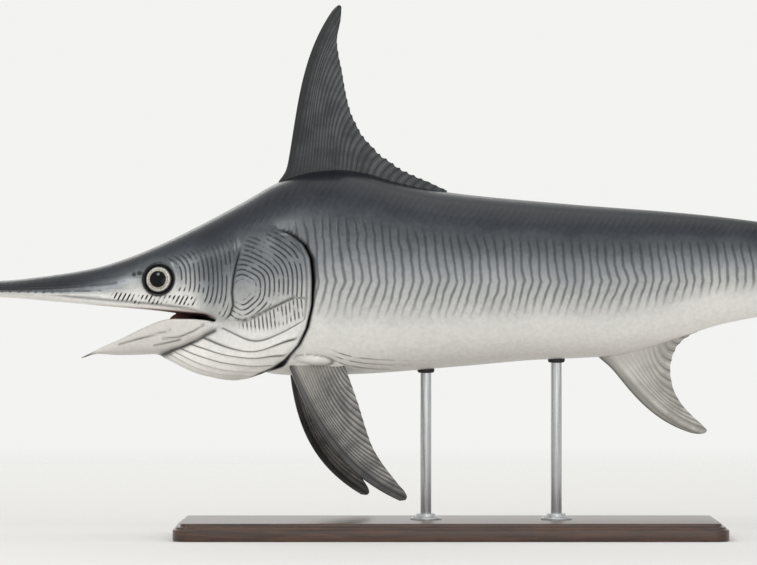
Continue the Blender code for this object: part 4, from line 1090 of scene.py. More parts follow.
# %% Make the fins of the back and belly
SMALL_FIN = dict(rays=5, thickness=0.0045, ragged=0.0012, rows=24)
UPRIGHT_FINS = (
    ("first_dorsal", DORSAL_ROOT, DORSAL_EDGE,
     dict(bow=-0.0205, skew=0.8, lean=1.3, heel=(-0.014, 0.06), rays=30, thickness=0.0085, ragged=0.006,
          per_ray=8, rows=56)),
    ("first_anal", ANAL_ROOT, ANAL_EDGE,
     dict(bow=0.0245, skew=0.4, lean=0.9, heel=(0.011, 0.13), rays=18, thickness=0.0072, ragged=0.003,
          per_ray=7)),
    ("second_dorsal", SECOND_DORSAL_ROOT, SECOND_DORSAL_EDGE, dict(bow=-0.004, **SMALL_FIN)),
    ("second_anal", SECOND_ANAL_ROOT, SECOND_ANAL_EDGE, dict(bow=0.004, **SMALL_FIN)),
)
fins = []
for seed, (name, root, edge, shape) in enumerate(UPRIGHT_FINS, start=3):
    fins.append(fold_fin(name, fin_face(root, edge, seed=seed, **shape), upright))

# %% Make the tail fin
# Each lobe is a leaf of its own, and the two meet in the middle, where the skin is held thick.
lobes = []
for side, edge, seed in ((1, TAIL_UPPER_EDGE, 11), (-1, TAIL_LOWER_EDGE, 12)):
    root = [(x, TAIL_MIDDLE + side * height) for x, height in TAIL_ROOT]
    outline = [(x, TAIL_MIDDLE + height) for x, height in edge]
    lobes.append(fin_face(root, outline, -side * 0.03, 20, 0.011, seed, ragged=0.003, rows=52))
tail = [np.concatenate([above, below[:, -2::-1]], axis=1) if above.shape[1] > 1 else above
        for above, below in zip(*lobes)]
tail_half, middle, held = tail[1], lobes[0][1].shape[1] - 1, 4
for k in range(middle - held + 1, middle + held):
    beside = 0.5 * (tail_half[:, middle - held] + tail_half[:, middle + held])
    tail_half[:, k] = np.maximum(tail_half[:, k], beside)
tail_half[-1] = 0
fins.append(fold_fin("tail", tail, upright))

# %% Make the pectoral fins
PECTORAL_PLACE = (-0.366, 0.060, 0.395)
PECTORAL_SHAPE = dict(rays=17, thickness=0.008, seed=21, ragged=0.005, camber=0.014, per_ray=8, rows=50,
                      skew=0.25)


def hanging(side, splay, sweep):
    """Sets a pectoral fin low on the flank: it leans outwards by its splay and turns by its sweep."""
    lean, turn = math.radians(splay), math.radians(sweep)

    def place(rearwards, outwards, step):
        back = rearwards * math.cos(turn) - outwards * math.sin(turn)
        down = rearwards * math.sin(turn) + outwards * math.cos(turn)
        y = PECTORAL_PLACE[1] + down * math.sin(lean) + step * math.cos(lean)
        z = PECTORAL_PLACE[2] - down * math.cos(lean) + step * math.sin(lean)
        return np.stack([PECTORAL_PLACE[0] + back, side * y, z], axis=-1)

    return place


for name, side, splay, sweep, bow in (
        ("pectoral_left", -1, 20.0, 0.0, -0.047), ("pectoral_right", 1, 33.6, 14.2, -0.052)):
    faces = fin_face(PECTORAL_ROOT, PECTORAL_EDGE, bow, **PECTORAL_SHAPE)
    fins.append(fold_fin(name, faces, hanging(side, splay, sweep), flare=0.0045, reach=0.22))

# %% [markdown]
# ## Eyes
# A swordfish's eye is as big as an orange and almost flush with the head. The ball is a sphere with
# its pole turned outwards and pressed flatter along that axis. Each point notes its distance from the
# axis, so the finish can draw the pupil, the iris and the dark rim as true circles.

# %% Make the eyes
BALL_RADIUS, BALL_DEPTH, SEEN_RADIUS = 0.040, 0.030, 0.0310
SUNK = BALL_DEPTH * math.sqrt(1 - (SEEN_RADIUS / BALL_RADIUS) ** 2)
eyes = []
for name, side in (("eyeball_left", -1), ("eyeball_right", 1)):
    out_way = Vector((eye_out[0], side * eye_out[1], eye_out[2]))
    centre = Vector((eye_spot[0], side * eye_spot[1], eye_spot[2])) - out_way * (SUNK + ORBIT_SUNK)
    eye = start("uv_sphere", name, segments=72, ring_count=56, radius=BALL_RADIUS, location=centre,
                rotation=out_way.to_track_quat("Z", "Y").to_euler(), scale=(1, 1, BALL_DEPTH / BALL_RADIUS))
    faces_out(eye)
    away = read(eye) - np.array(centre)
    height = away @ np.array(out_way)
    radius = np.linalg.norm(away - height[:, None] * np.array(out_way), axis=1)
    note(eye, from_axis=np.where(height > 0, radius, 2 * BALL_RADIUS - radius))
    bpy.ops.object.shade_smooth()
    eyes.append(eye)
print("eyes:", [eye.name for eye in eyes])

# %% [markdown]
# ## The stand
# The picture shows no stand, because the fish swims there. A life-size model rests on a plain plinth,
# so this one has a board of dark stained wood with a stepped edge, two brushed steel rods and a turned
# foot under each rod. The board starts as a cube: its corners are bevelled, and its top is inset and
# raised to make the steps.

# %% Helpers for the stand


def pick_edges(piece, chosen):
    """Selects edges by a test on their two ends, and goes into edit mode."""
    only(piece)
    bpy.ops.object.mode_set(mode="EDIT")
    bpy.ops.mesh.select_mode(type="EDGE")
    bpy.ops.mesh.select_all(action="DESELECT")
    bpy.ops.object.mode_set(mode="OBJECT")
    points = piece.data.vertices
    for edge in piece.data.edges:
        edge.select = chosen(*[points[i].co for i in edge.vertices])
    bpy.ops.object.mode_set(mode="EDIT")


def step_on_top(piece, top, margin, rise_by):
    """Insets the faces at the top of a piece and moves them up, or down where the last number is below 0."""
    pick_faces(piece, lambda centres: centres[:, 2] > top - 0.0001)
    bpy.ops.mesh.inset(thickness=margin, depth=0)
    bpy.ops.mesh.extrude_region_move(TRANSFORM_OT_translate={"value": (0, 0, rise_by)})
    bpy.ops.object.mode_set(mode="OBJECT")


def rounded(piece, width, segments=3, sharp=30, smooth_below=40):
    """Rounds the edges that are sharper than an angle, and shades the piece smooth below another."""
    edge = piece.modifiers.new("edge", "BEVEL")
    edge.width, edge.segments = width, segments
    edge.limit_method, edge.angle_limit = "ANGLE", math.radians(sharp)
    apply_all(piece)
    bpy.ops.object.shade_smooth_by_angle(angle=math.radians(smooth_below))
    return piece


# %% Make the board
BASE_LENGTH, BASE_WIDTH, BASE_THICK = 1.260, 0.460, 0.040
PLINTH_HEIGHT, LOWER_STEP, UPPER_STEP = 0.026, 0.006, 0.008
board = start("cube", "plinth_board", size=1, location=(0, 0, PLINTH_HEIGHT / 2),
              scale=(BASE_LENGTH, BASE_WIDTH, PLINTH_HEIGHT))
pick_edges(board, lambda a, b: abs(a.z - b.z) > PLINTH_HEIGHT / 2)
bpy.ops.mesh.bevel(offset=0.035, segments=12, affect="EDGES")
bpy.ops.object.mode_set(mode="OBJECT")
step_on_top(board, PLINTH_HEIGHT, 0.007, LOWER_STEP)
step_on_top(board, PLINTH_HEIGHT + LOWER_STEP, 0.010, UPPER_STEP)
rounded(board, 0.0028, segments=4, sharp=40, smooth_below=35)
print("board faces:", len(board.data.polygons), "top mm:", round(1000 * read(board)[:, 2].max(), 1))

# %% [markdown]
# ## The rods and their feet
# Each rod is a bar with a foot turned on a lathe: a flange with three screws, and a short hub. A
# cylinder is inset and raised for the hub, then its edges are rounded. A ring of black rubber lies
# where the rod meets the belly.

# %% Make the rods
ROD_RADIUS, ROD_X, ROD_SUNK = 0.0125, (-0.055, 0.245), 0.030
FOOT_RADIUS, FOOT_HEIGHT, FLANGE_HEIGHT, HUB_RADIUS = 0.036, 0.014, 0.0052, 0.0215
SCREW_RADIUS, SCREW_CIRCLE, SCREW_LOW, SCREW_TOP = 0.0038, 0.0288, 0.0048, 0.0078
SOCKET_RIM, SOCKET_DEPTH = 0.0018, 0.0014


def bar(name, radius, low, high, x, y=0.0, sides=64):
    """An upright bar between two heights."""
    return start("cylinder", name, vertices=sides, radius=radius, depth=high - low,
                 location=(x, y, (low + high) / 2))


rods, feet, rings = [], [], []
for name, x in zip(("front", "rear"), ROD_X):
    belly = float(smooth(BELLY_HEIGHT, x))
    rods.append(rounded(bar(name + "_rod", ROD_RADIUS, BASE_THICK - 0.004, belly + ROD_SUNK, x), 0.0012))
    foot = bar(name + "_foot", FOOT_RADIUS, BASE_THICK - 0.001, BASE_THICK + FLANGE_HEIGHT, x, sides=96)
    step_on_top(foot, BASE_THICK + FLANGE_HEIGHT, FOOT_RADIUS - HUB_RADIUS, FOOT_HEIGHT - FLANGE_HEIGHT)
    feet.append(rounded(foot, 0.0011))
    screws = []
    for turn in np.radians((90, 210, 330)):
        screw = bar(name + "_screw", SCREW_RADIUS, BASE_THICK + SCREW_LOW, BASE_THICK + SCREW_TOP,
                    x + SCREW_CIRCLE * math.cos(turn), SCREW_CIRCLE * math.sin(turn), sides=28)
        step_on_top(screw, BASE_THICK + SCREW_TOP, SOCKET_RIM, -SOCKET_DEPTH)
        screws.append(rounded(screw, 0.0005, segments=2))
    only(foot)
    for screw in screws:
        screw.select_set(True)
    bpy.ops.object.join()
    rings.append(start("torus", name + "_ring", stretch=(1, 1, 1.5), major_segments=64, minor_segments=16,
                       major_radius=ROD_RADIUS + 0.003, minor_radius=0.0042, location=(x, 0, belly - 0.0006)))
    bpy.ops.object.shade_smooth()
print("rods:", [round(1000 * (read(rod)[:, 2].max())) for rod in rods])

# %% [markdown]
# ## Markings of the skin
# A swordfish is dark above and pale below, so that it vanishes from above and from below. The finish
# needs to know how far down the side each point lies, where the mouth's lining is, and where shade is
# painted into a crease, a furrow, the gill slit or the back of the mouth. These are sums on the point's
# place, and they are written on the mesh, so that the pattern follows the fish and stays put from every side.

# %% Write how far down the side each point lies
THROAT_LOW = 0.375
places, normals = read(skin), read(skin, "normal")
x, y, z = mirrored(places)
back_line, belly_line = smooth(BACK_HEIGHT, x), smooth(BELLY_HEIGHT, x)
low_line = belly_line + (THROAT_LOW - belly_line) * rise(x, -0.6, -0.54) * (x < -0.4)
down_share = np.clip((back_line - z) / np.maximum(back_line - low_line, 0.004), 0, 1.3)
on_bill = 1 - rise(x, -0.92, -0.7)
down_share += on_bill * (0.06 + 0.86 * rise(down_share, 0.52, 0.8) - down_share) * (down_share < 1.02)
note(skin, down=down_share)
print("down the side:", round(float(down_share.min()), 2), round(float(down_share.max()), 2))

# %% Mark the mouth's lining
# The lining is the trough of the jaw, the palate above it and the wall behind both. Deeper in the mouth it is
# marked for painted shade.
keel_line, jaw_half = smooth(JAW_KEEL_HEIGHT, x), smooth(JAW_HALF_WIDTH, x)
facing_out = normals[:, 1] * np.sign(places[:, 1])
along_jaw = (x > -0.85) & (x < -0.53) & (z < belly_line - 0.002)
in_trough = along_jaw & (z > keel_line + 0.006)
trough = in_trough * rise(jaw_half - y, 0.005, 0.009) * rise(normals[:, 2], 0, 0.5)
bill_lip = 0.045 * (1 - rise(x, -0.9, -0.76))
palate = (z > belly_line - 0.004) * rise(-normals[:, 2], 0.45, 0.8) * band(x, -0.9, -0.86, -0.56, -0.53)
palate = palate * rise(smooth(HALF_WIDTH, x) - y - bill_lip, 0.012, 0.02)
back_wall = (x > -0.68) & (x < -0.52) & (y < jaw_half - 0.007)
back_wall &= (z > keel_line + 0.022) & (z < belly_line + 0.006)
back_wall &= (facing_out < 0.5) | (z > smooth(JAW_LIP_HEIGHT, x) - 0.006)
lining = np.clip(trough + palate + back_wall, 0, 1)
note(skin, mouth=lining, deep=lining * rise(x, -0.7, -0.57))
print("points of the mouth's lining:", int((lining > 0.5).sum()))

# %% Mark the painted shade in the creases of the head
JAW_CREASE = ((-0.5384, 0.474), (-0.5589, 0.4641), (-0.5803, 0.4508), (-0.6111, 0.4386), (-0.6357, 0.4301),
              (-0.6449, 0.424), (-0.66, 0.418))
groove = bump(x, across(CHEEK_GROOVE, z), 0.0036) * band(z, 0.495, 0.51, 0.64, 0.672)
nostrils = sum(np.exp(-from_nostril(x, z, nostril)**2) for nostril in NOSTRILS) * (y > SIDES_FROM)
# A ring of painted shade round the eye, over the rim of the orbit.
socket = band(from_eye(places), 0.027, 0.03, 0.0375, 0.0415)
gap, at = near_line(JAW_CREASE, x, z)
under_jaw = bump(gap, 0, 0.0042 + 0.004 * rise(at, 0.09, 0.13)) * (x < -0.53) * (y > 0.008)
jaw_tip = (1 - rise(x, -0.838, -0.808)) * (x > -0.86) * (z < 0.46)
lip_edge = bump(z - belly_line, 0.0008, 0.0026) * band(x, -0.8, -0.62, -0.545, -0.53) * (y > SIDES_FROM)
# Each of these is painted shade, in the cheek groove, the nostrils, round the eye, under the jaw and along
# the lip, and the tip of the jaw is darkened as well.
crease_shade = groove + nostrils + socket + 0.8 * jaw_tip + 0.9 * under_jaw + 0.7 * lip_edge
print("points in creases of the head:", int((crease_shade > 0.5).sum()))

# %% Mark the painted shadow of the gill slit and behind the cover's edge, and the bare plates
# The painted shadow of the slit is widest as a wedge low down, where the cover's edge turns under the throat.
past, middle = x - across(GILL_MARGIN, z), smooth(MIDDLE_LINE, x)
wedge = 0.014 * bump(z, 0.393, 0.014) + 0.0045 * rise(z, 0.52, 0.62)
slit = band(past, -0.0045, 0.0005, 0.003 + wedge, 0.011 + wedge) * band(z, 0.355, 0.372, 0.7, 0.708)
# Faces that look inwards in the gill opening, and skin sunk deep under its form, get painted shade.
facing_in = -(facing_out * y + normals[:, 2] * (z - middle)) / np.hypot(y, z - middle)
cavity = np.maximum(rise(facing_in, 0.1, 0.4), rise(below_form(places), 0.007, 0.01) * (z < 0.5))
cavity = cavity * (x > -0.5) * (past < 0.006)
# A painted shadow runs along the rim of the lobe over the pectoral fin.
lobe_turn = np.degrees(np.arctan2(z - LOBE_CENTRE[1], x - LOBE_CENTRE[0]))
lobe_rim = bump(lobe_radius(x, z), 1.05, 0.13) * (y > 0.04) * rise(past, 0.012, 0.02)
lobe_rim = lobe_rim * (1 - rise(np.abs(lobe_turn - 20), 120, 170))
crease_shade = crease_shade + slit + cavity + 0.65 * lobe_rim
plate = rise(x, *MOUTH_FRONT) * (1 - rise(past, -0.003, 0.003))
plate = plate * (1 - rise(z, 0.705, 0.722) * rise(x, -0.5, -0.46))
on_jaw = along_jaw & (z > keel_line - 0.002)
# The crease mark carries all of this painted shade and shadow to the finish, which paints it near black.
note(skin, crease=np.clip(crease_shade, 0, 1), plate=np.maximum(plate, 0.7 * rise(x, 0.72, 1)),
     jaw=on_jaw * (1 - rise(x, -0.6, -0.53)))
print("points in all creases:", int((crease_shade > 0.5).sum()))

# %% [markdown]
# ## Wet swordfish skin
# Adult swordfish have no scales. The skin is smooth, thin and slimy: a soft gloss with a clear wet film
# over it. The back is blue-black, the flank silver-grey, and the belly off-white. Silver comes from
# tiny crystals in the skin, so the flank is a little metallic. Faint upright bars, about 20 mm apart,
# follow the bands of muscle, and finer slanting streaks run off the dark back. Growth strokes cover the
# bones of the head, and three shallow folds lie on the belly behind each pectoral fin, with painted
# shade along their lines. Painted shade also darkens the furrows, the creases, the gill slit and the
# back of the mouth.

# %% Lines at equal steps


def lines_along(tree, length, spacing, bare, full, wave=SINE, shift=0.0):
    """Soft lines at equal steps of a length in metres. They are white, and bare and full set their edges."""
    turns = add(tree, TIMES_PLUS, [length, 2 * math.pi / spacing, shift])
    return add(tree, RAMP, [add(tree, wave, [turns])], [(bare, BLACK), (full, WHITE)])


# %% Skin finish
BAR_SPACING, STREAK_SPACING, BAR_FOLD = 0.0195, 0.0165, 0.588
# The folds: where they start and how they sink to the rear, then their height and the belt they keep to.
FOLD_START, FOLD_REACH, FOLD_DROP = -0.2875, 0.050, 0.036
FOLD_LEVEL, FOLD_SPACING = 0.3945, 0.011
FOLD_LOWEST, FOLD_BELT, FOLD_FRONT, FOLD_LENGTH = 0.375, 0.04, -0.28, 0.2
# Of these marks, deep, furrow and crease carry painted shade.
SKIN_MARKS = ("down", "mouth", "deep", "crease", "plate", "furrow", "scored", "ring", "jaw")


def swordfish_skin():
    made, tree, place = blank("wet_swordfish_skin")
    marks = {name: add(tree, ATTRIBUTE, attribute_name=name).outputs["Fac"] for name in SKIN_MARKS}
    spot = add(tree, SPLIT, [place]).outputs
    cloud = add(tree, NOISE, {"Vector": place, "Scale": 9.0, "Detail": 5.0, "Roughness": 0.6})
    grain = add(tree, NOISE, {"Vector": place, "Scale": 90.0, "Detail": 4.0, "Roughness": 0.65})
    # The line between dark and pale wanders by a few centimetres, and breaks up finely along its way.
    shift = add(tree, TIMES_PLUS, [cloud, 0.16, -0.105])
    shift = add(tree, TIMES_PLUS, [grain, 0.05, shift])
    level = add(tree, PLUS, [marks["down"], shift])
    shade = add(tree, RAMP, [level], [(0, "#0d1118"), (0.09, "#151a22"), (0.17, "#2c3138"), (0.3, "#54585b"),
                                      (0.45, "#83868a"), (0.6, "#b3b4b2"), (0.76, "#dddbd7"), (1, "#eeebe6")])
    # Muscle bands: bars folded like a chevron along the middle of the flank and bent by a slow noise,
    # and slanting streaks above them.
    warp = add(tree, NOISE, {"Vector": place, "Scale": 14.0, "Detail": 2.0})
    bent = add(tree, TIMES_PLUS, [warp, 0.022, spot["X"]])
    height = add(tree, PLUS, [spot["Z"], -BAR_FOLD])
    above, below = (add(tree, TIMES, [height, slope]) for slope in (0.13, -0.30))
    folded = add(tree, MATH, [above, below], operation="MAXIMUM")
    bars = lines_along(tree, add(tree, PLUS, [folded, bent]), BAR_SPACING, 0.1, 0.95)
    slant = add(tree, TIMES_PLUS, [spot["Z"], -0.55, bent])
    streaks = lines_along(tree, slant, STREAK_SPACING, 0.1, 0.95)
    flank_band = add(tree, RAMP, [marks["down"]],
                     [(0.21, BLACK), (0.27, WHITE), (0.6, WHITE), (0.73, BLACK)])
    upper_band = add(tree, RAMP, [marks["down"]],
                     [(0.04, BLACK), (0.08, WHITE), (0.15, WHITE), (0.2, BLACK)])
    both = add(tree, TIMES_PLUS, [streaks, upper_band, add(tree, TIMES, [bars, flank_band])])
    off_plates = add(tree, MATH, [1.0, marks["plate"]], operation="SUBTRACT")
    both = add(tree, TIMES, [both, off_plates])
    # Growth strokes on the bones of the head, broken and bent as in life.
    wobble = add(tree, TIMES, [warp, 2.6])
    strokes = lines_along(tree, marks["ring"], STROKE_SPACING, 0.05, 0.75, shift=wobble)
    gaps = add(tree, NOISE, {"Vector": place, "Scale": 34.0, "Detail": 2.0})
    gaps = add(tree, RAMP, [gaps], [(0.38, "#5a5a5a"), (0.48, WHITE)])
    for part in (gaps, marks["scored"]):
        strokes = add(tree, TIMES, [strokes, part])
    # Folds behind the root of the pectoral fin, which sink towards the rear and level out. Their lines are
    # painted shade, and are also cut into the bump.
    behind_root = add(tree, TIMES_PLUS, [spot["X"], -1 / FOLD_REACH, FOLD_START / FOLD_REACH])
    sunk = add(tree, MATH, [math.e, behind_root], operation="POWER")
    level = add(tree, TIMES_PLUS, [sunk, -FOLD_DROP, spot["Z"]])
    fold_grooves_and_shade = lines_along(tree, add(tree, PLUS, [level, -FOLD_LEVEL]), FOLD_SPACING, 0.5, 0.95, wave=COSINE)
    up_belt = add(tree, TIMES_PLUS, [level, 1 / FOLD_BELT, -FOLD_LOWEST / FOLD_BELT])
    up_belt = add(tree, RAMP, [up_belt], [(0.08, BLACK), (0.16, WHITE), (0.82, WHITE), (0.9, BLACK)])
    to_rear = add(tree, TIMES_PLUS, [spot["X"], 1 / FOLD_LENGTH, -FOLD_FRONT / FOLD_LENGTH])
    to_rear = add(tree, RAMP, [to_rear], [(0.02, BLACK), (0.14, WHITE), (0.7, "#b0b0b0"), (1, BLACK)])
    for part in (up_belt, to_rear, gaps):
        fold_grooves_and_shade = add(tree, TIMES, [fold_grooves_and_shade, part])
    # The layers of colour, each over the one before: bands, dusky jaw, lining with painted shade deep in the
    # mouth, strokes, and painted shade in folds, furrows and creases.
    lining = add(tree, MIX, {"Factor": marks["deep"], "A": "#a67b72", "B": "#1d0e0d"})
    for mark, strength, colour in (
            (both, 0.62, "#22252b"), (marks["jaw"], 0.30, "#6b655c"), (marks["mouth"], 1.0, lining),
            (strokes, 0.84, "#23262b"), (fold_grooves_and_shade, 0.75, "#3c3c3e"), (marks["furrow"], 0.85, "#1c1d20"),
            (marks["crease"], 1.0, "#08090b")):
        cover = add(tree, TIMES, [mark, strength], use_clamp=True)
        shade = add(tree, MIX, {"Factor": cover, "A": shade, "B": colour})
    mottle = add(tree, RAMP, [grain], [(0.35, "#f4f4f4"), (0.62, WHITE)])
    shade = add(tree, MIX, {"Factor": 1.0, "A": shade, "B": mottle}, blend_type="MULTIPLY")
    silver = add(tree, RAMP, [marks["down"]],
                 [(0.15, BLACK), (0.38, "#aaaaaa"), (0.62, "#999999"), (0.85, "#333333")])
    sheen = add(tree, RAMP, [grain], [(0.3, "#8f8f8f"), (0.7, "#acacac")])
    # Pores about 2 mm apart, drawn a little coarser than life, over the slow swell of the muscle bands.
    pores = add(tree, NOISE, {"Vector": place, "Scale": 380.0, "Detail": 2.0})
    scores = add(tree, PLUS, [strokes, fold_grooves_and_shade])
    fine = add(tree, BUMP, {"Height": pores, "Strength": 0.2, "Distance": 0.001})
    swell = add(tree, BUMP, {"Height": both, "Normal": fine, "Strength": 0.2, "Distance": 0.0022})
    cut = add(tree, BUMP, {"Height": scores, "Normal": swell, "Strength": 0.6, "Distance": 0.0012},
              invert=True)
    shader = add(tree, SHADER, {"Base Color": shade, "Metallic": silver, "Roughness": sheen, "Normal": cut,
                                "IOR": 1.36, "Coat Weight": 0.25, "Coat Roughness": 0.14, "Coat IOR": 1.34})
    add(tree, OUTPUT, [shader])
    return made


def give(finish, *pieces, smooth_below=None):
    """Gives pieces their one material, and shades them smooth except at edges sharper than an angle."""
    for piece in pieces:
        piece.data.materials.clear()
        piece.data.materials.append(finish)
        if smooth_below is not None:
            only(piece)
            bpy.ops.object.shade_smooth_by_angle(angle=math.radians(smooth_below))


give(swordfish_skin(), skin, smooth_below=55)
print("skin finish:", skin.data.materials[0].name)

# %% [markdown]
# ## Fin skin
# The fins are the same wet skin drawn thin over rays, darker along each ray than on the web between
# them. Those of the back and tail are nearly black, and the pectoral and belly fins are paler, as the
# drawing shows them. One function makes all four finishes from their colours. The ray number written on
# the mesh sets the pattern, so the streaks fan out with the rays.

# %% Fin finish


def fin_skin(name, root_colour, web_colour, ray_colour, edge_colour="#0b0c0f", edge_rays=3.0, fleshy_to=0.42):
    made, tree, place = blank(name)
    ray, out = (add(tree, ATTRIBUTE, attribute_name=mark).outputs["Fac"] for mark in ("ray", "out"))
    wave, finer = (add(tree, COSINE, [add(tree, TIMES, [ray, turns * math.pi])]) for turns in (2, 6))
    wave = add(tree, TIMES_PLUS, [wave, 0.6, 0.4], use_clamp=True)
    finer = add(tree, TIMES_PLUS, [finer, 0.5, 0.5])
    both = add(tree, TIMES_PLUS, [finer, 0.35, add(tree, TIMES, [wave, 0.65])])
    cloud = add(tree, NOISE, {"Vector": place, "Scale": 22.0, "Detail": 5.0, "Roughness": 0.6})
    patches = add(tree, RAMP, [cloud], [(0.42, BLACK), (0.62, "#c4c4c4")])
    fleshy = add(tree, MATH, [out, fleshy_to], operation="DIVIDE")
    fleshy = add(tree, RAMP, [fleshy], [(0.05, "#eeeeee"), (0.4, "#959595"), (1, BLACK)])
    # The spine in front and the first rays behind it are the darkest.
    ahead = add(tree, MATH, [ray, edge_rays], operation="DIVIDE")
    ahead = add(tree, RAMP, [ahead], [(0.2, "#e8e8e8"), (1, BLACK)])
    shade = web_colour
    for cover, colour in ((both, ray_colour), (patches, ray_colour), (fleshy, root_colour),
                          (ahead, edge_colour)):
        shade = add(tree, MIX, {"Factor": cover, "A": shade, "B": colour})
    sheen = add(tree, RAMP, [cloud], [(0.3, "#959595"), (0.7, "#b5b5b5")])
    pores = add(tree, NOISE, {"Vector": place, "Scale": 420.0, "Detail": 2.0})
    height = add(tree, TIMES_PLUS, [pores, 0.3, both])
    lift = add(tree, BUMP, {"Height": height, "Strength": 0.45, "Distance": 0.0009})
    shader = add(tree, SHADER, {"Base Color": shade, "Roughness": sheen, "Normal": lift, "IOR": 1.38,
                                "Coat Weight": 0.20, "Coat Roughness": 0.16, "Coat IOR": 1.34})
    add(tree, OUTPUT, [shader])
    return made


fin_finishes = {
    "back": fin_skin("wet_fin_skin_of_the_back", "#15191f", "#505355", "#0f1114"),
    "belly": fin_skin("wet_fin_skin_of_the_belly", "#d2cfc9", "#bdbab3", "#726f6a", "#65625c", 1.5, 0.9),
    "breast": fin_skin("wet_fin_skin_of_the_breast", "#b5b1a9", "#94908a", "#2b2d31", edge_rays=2.6),
    "tail": fin_skin("wet_fin_skin_of_the_tail", "#3a3d42", "#2f3033", "#111317"),
}
for fin, kind in zip(fins, ("back", "belly", "back", "belly", "tail", "breast", "breast")):
    give(fin_finishes[kind], fin, smooth_below=60)
print("fin finishes:", {fin.name: fin.data.materials[0].name for fin in fins})

# %% [markdown]
# ## The eye
# Fresh, the eye is glass-clear over a blue-black pupil and a silvery iris with a bronze cast. Real
# glass over a painted disc needs light to pass through, which the exported model can't carry, so the
# rings are painted on the ball and a clear coat gives the wet shine.

# %% Eye finish


def fish_eye():
    made, tree, place = blank("clear_wet_fish_eye")
    radius = add(tree, ATTRIBUTE, attribute_name="from_axis").outputs["Fac"]
    ripple = add(tree, NOISE, {"Vector": place, "Scale": 160.0, "Detail": 4.0})
    share = add(tree, TIMES_PLUS, [radius, 1 / BALL_RADIUS, -0.008])
    share = add(tree, TIMES_PLUS, [ripple, 0.016, share])
    rings = add(tree, RAMP, [share], [
        (0, "#010203"), (0.445, "#020306"), (0.465, "#3a3429"), (0.485, "#a8a399"), (0.535, "#c9c6bf"),
        (0.552, "#77746d"), (0.575, "#c2bfb7"), (0.645, "#d8d5ce"), (0.695, "#86837c"), (0.72, "#15171b"),
        (0.8, "#07080a")])
    flecks = add(tree, NOISE, {"Vector": place, "Scale": 320.0, "Detail": 3.0})
    flecks = add(tree, RAMP, [flecks], [(0.42, "#85827c"), (0.58, WHITE)])
    rings = add(tree, MIX, {"Factor": 0.5, "A": rings, "B": flecks}, blend_type="MULTIPLY")
    flash = add(tree, RAMP, [share], [(0.45, BLACK), (0.5, "#8f8f8f"), (0.66, "#808080"), (0.72, BLACK)])
    shader = add(tree, SHADER, {"Base Color": rings, "Metallic": flash, "Roughness": 0.35,
                                "Specular IOR Level": 0.0, "Coat Weight": 0.6, "Coat Roughness": 0.02,
                                "Coat IOR": 1.38})
    add(tree, OUTPUT, [shader])
    return made


give(fish_eye(), *eyes)
print("eye finish:", eyes[0].data.materials[0].name)

# %% [markdown]
# ## Wood, steel and rubber
# The board is stained oak under satin lacquer, with its grain along its length. The rods are stainless
# steel, brushed lengthwise, and the feet are turned, so their brushing runs in rings. The rubber of the
# rings is matt, with a little dust on it.

# %% Stand finishes


def stained_oak():
    made, tree, place = blank("stained_oak_satin_lacquer")
    laid = add(tree, MAPPING, {"Vector": place, "Scale": (1.6, 22.0, 22.0)})
    grain = add(tree, NOISE, {"Vector": laid, "Scale": 4.0, "Detail": 8.0, "Roughness": 0.62,
                              "Distortion": 0.6})
    thin = add(tree, MAPPING, {"Vector": place, "Scale": (6.0, 320.0, 320.0)})
    pores = add(tree, NOISE, {"Vector": thin, "Scale": 2.2, "Detail": 3.0})
    shade = add(tree, RAMP, [grain],
                [(0.3, "#1f120b"), (0.48, "#3a2214"), (0.6, "#4d2f1c"), (0.75, "#2c190f")])
    open_pores = add(tree, RAMP, [pores], [(0.55, BLACK), (0.68, "#c8c8c8")])
    shade = add(tree, MIX, {"Factor": open_pores, "A": shade, "B": "#140b06"})
    sheen = add(tree, RAMP, [grain], [(0.3, "#909090"), (0.7, "#a9a9a9")])
    lift = add(tree, BUMP, {"Height": pores, "Strength": 0.12, "Distance": 0.0006})
    shader = add(tree, SHADER, {"Base Color": shade, "Roughness": sheen, "Normal": lift, "IOR": 1.50,
                                "Coat Weight": 0.3, "Coat Roughness": 0.25})
    add(tree, OUTPUT, [shader])
    return made


def brushed_steel(name, stretch):
    made, tree, place = blank(name)
    drawn = add(tree, MAPPING, {"Vector": place, "Scale": stretch})
    scratches = add(tree, NOISE, {"Vector": drawn, "Scale": 1.0, "Detail": 3.0})
    shade = add(tree, RAMP, [scratches], [(0.3, "#9fa1a3"), (0.7, "#c9cacb")])
    sheen = add(tree, RAMP, [scratches], [(0.3, "#868686"), (0.7, "#a6a6a6")])
    lift = add(tree, BUMP, {"Height": scratches, "Strength": 0.10, "Distance": 0.0003})
    shader = add(tree, SHADER, {"Base Color": shade, "Metallic": 1.0, "Roughness": sheen, "Normal": lift})
    add(tree, OUTPUT, [shader])
    return made


def black_rubber():
    made, tree, place = blank("moulded_black_rubber")
    dust = add(tree, NOISE, {"Vector": place, "Scale": 240.0, "Detail": 3.0})
    shade = add(tree, RAMP, [dust], [(0.4, "#101011"), (0.7, "#1d1d1e")])
    shader = add(tree, SHADER, {"Base Color": shade, "Roughness": 0.62})
    add(tree, OUTPUT, [shader])
    return made


give(stained_oak(), board)
give(brushed_steel("brushed_steel_drawn_along", (900.0, 900.0, 14.0)), *rods)
give(brushed_steel("brushed_steel_turned", (60.0, 60.0, 1400.0)), *feet)
give(black_rubber(), *rings)
print("stand finishes:", [group[0].data.materials[0].name for group in ([board], rods, feet, rings)])

# %% [markdown]
# ## Floor and light
# The fish stands on a plain pale floor that fades into the pale surroundings, so no horizon cuts
# across the picture from any side. Large soft lamps stand left, right, behind and above, and a weak
# one low in front opens the shade under the belly. The plain view transform keeps the surroundings as
# pale as drawing paper.

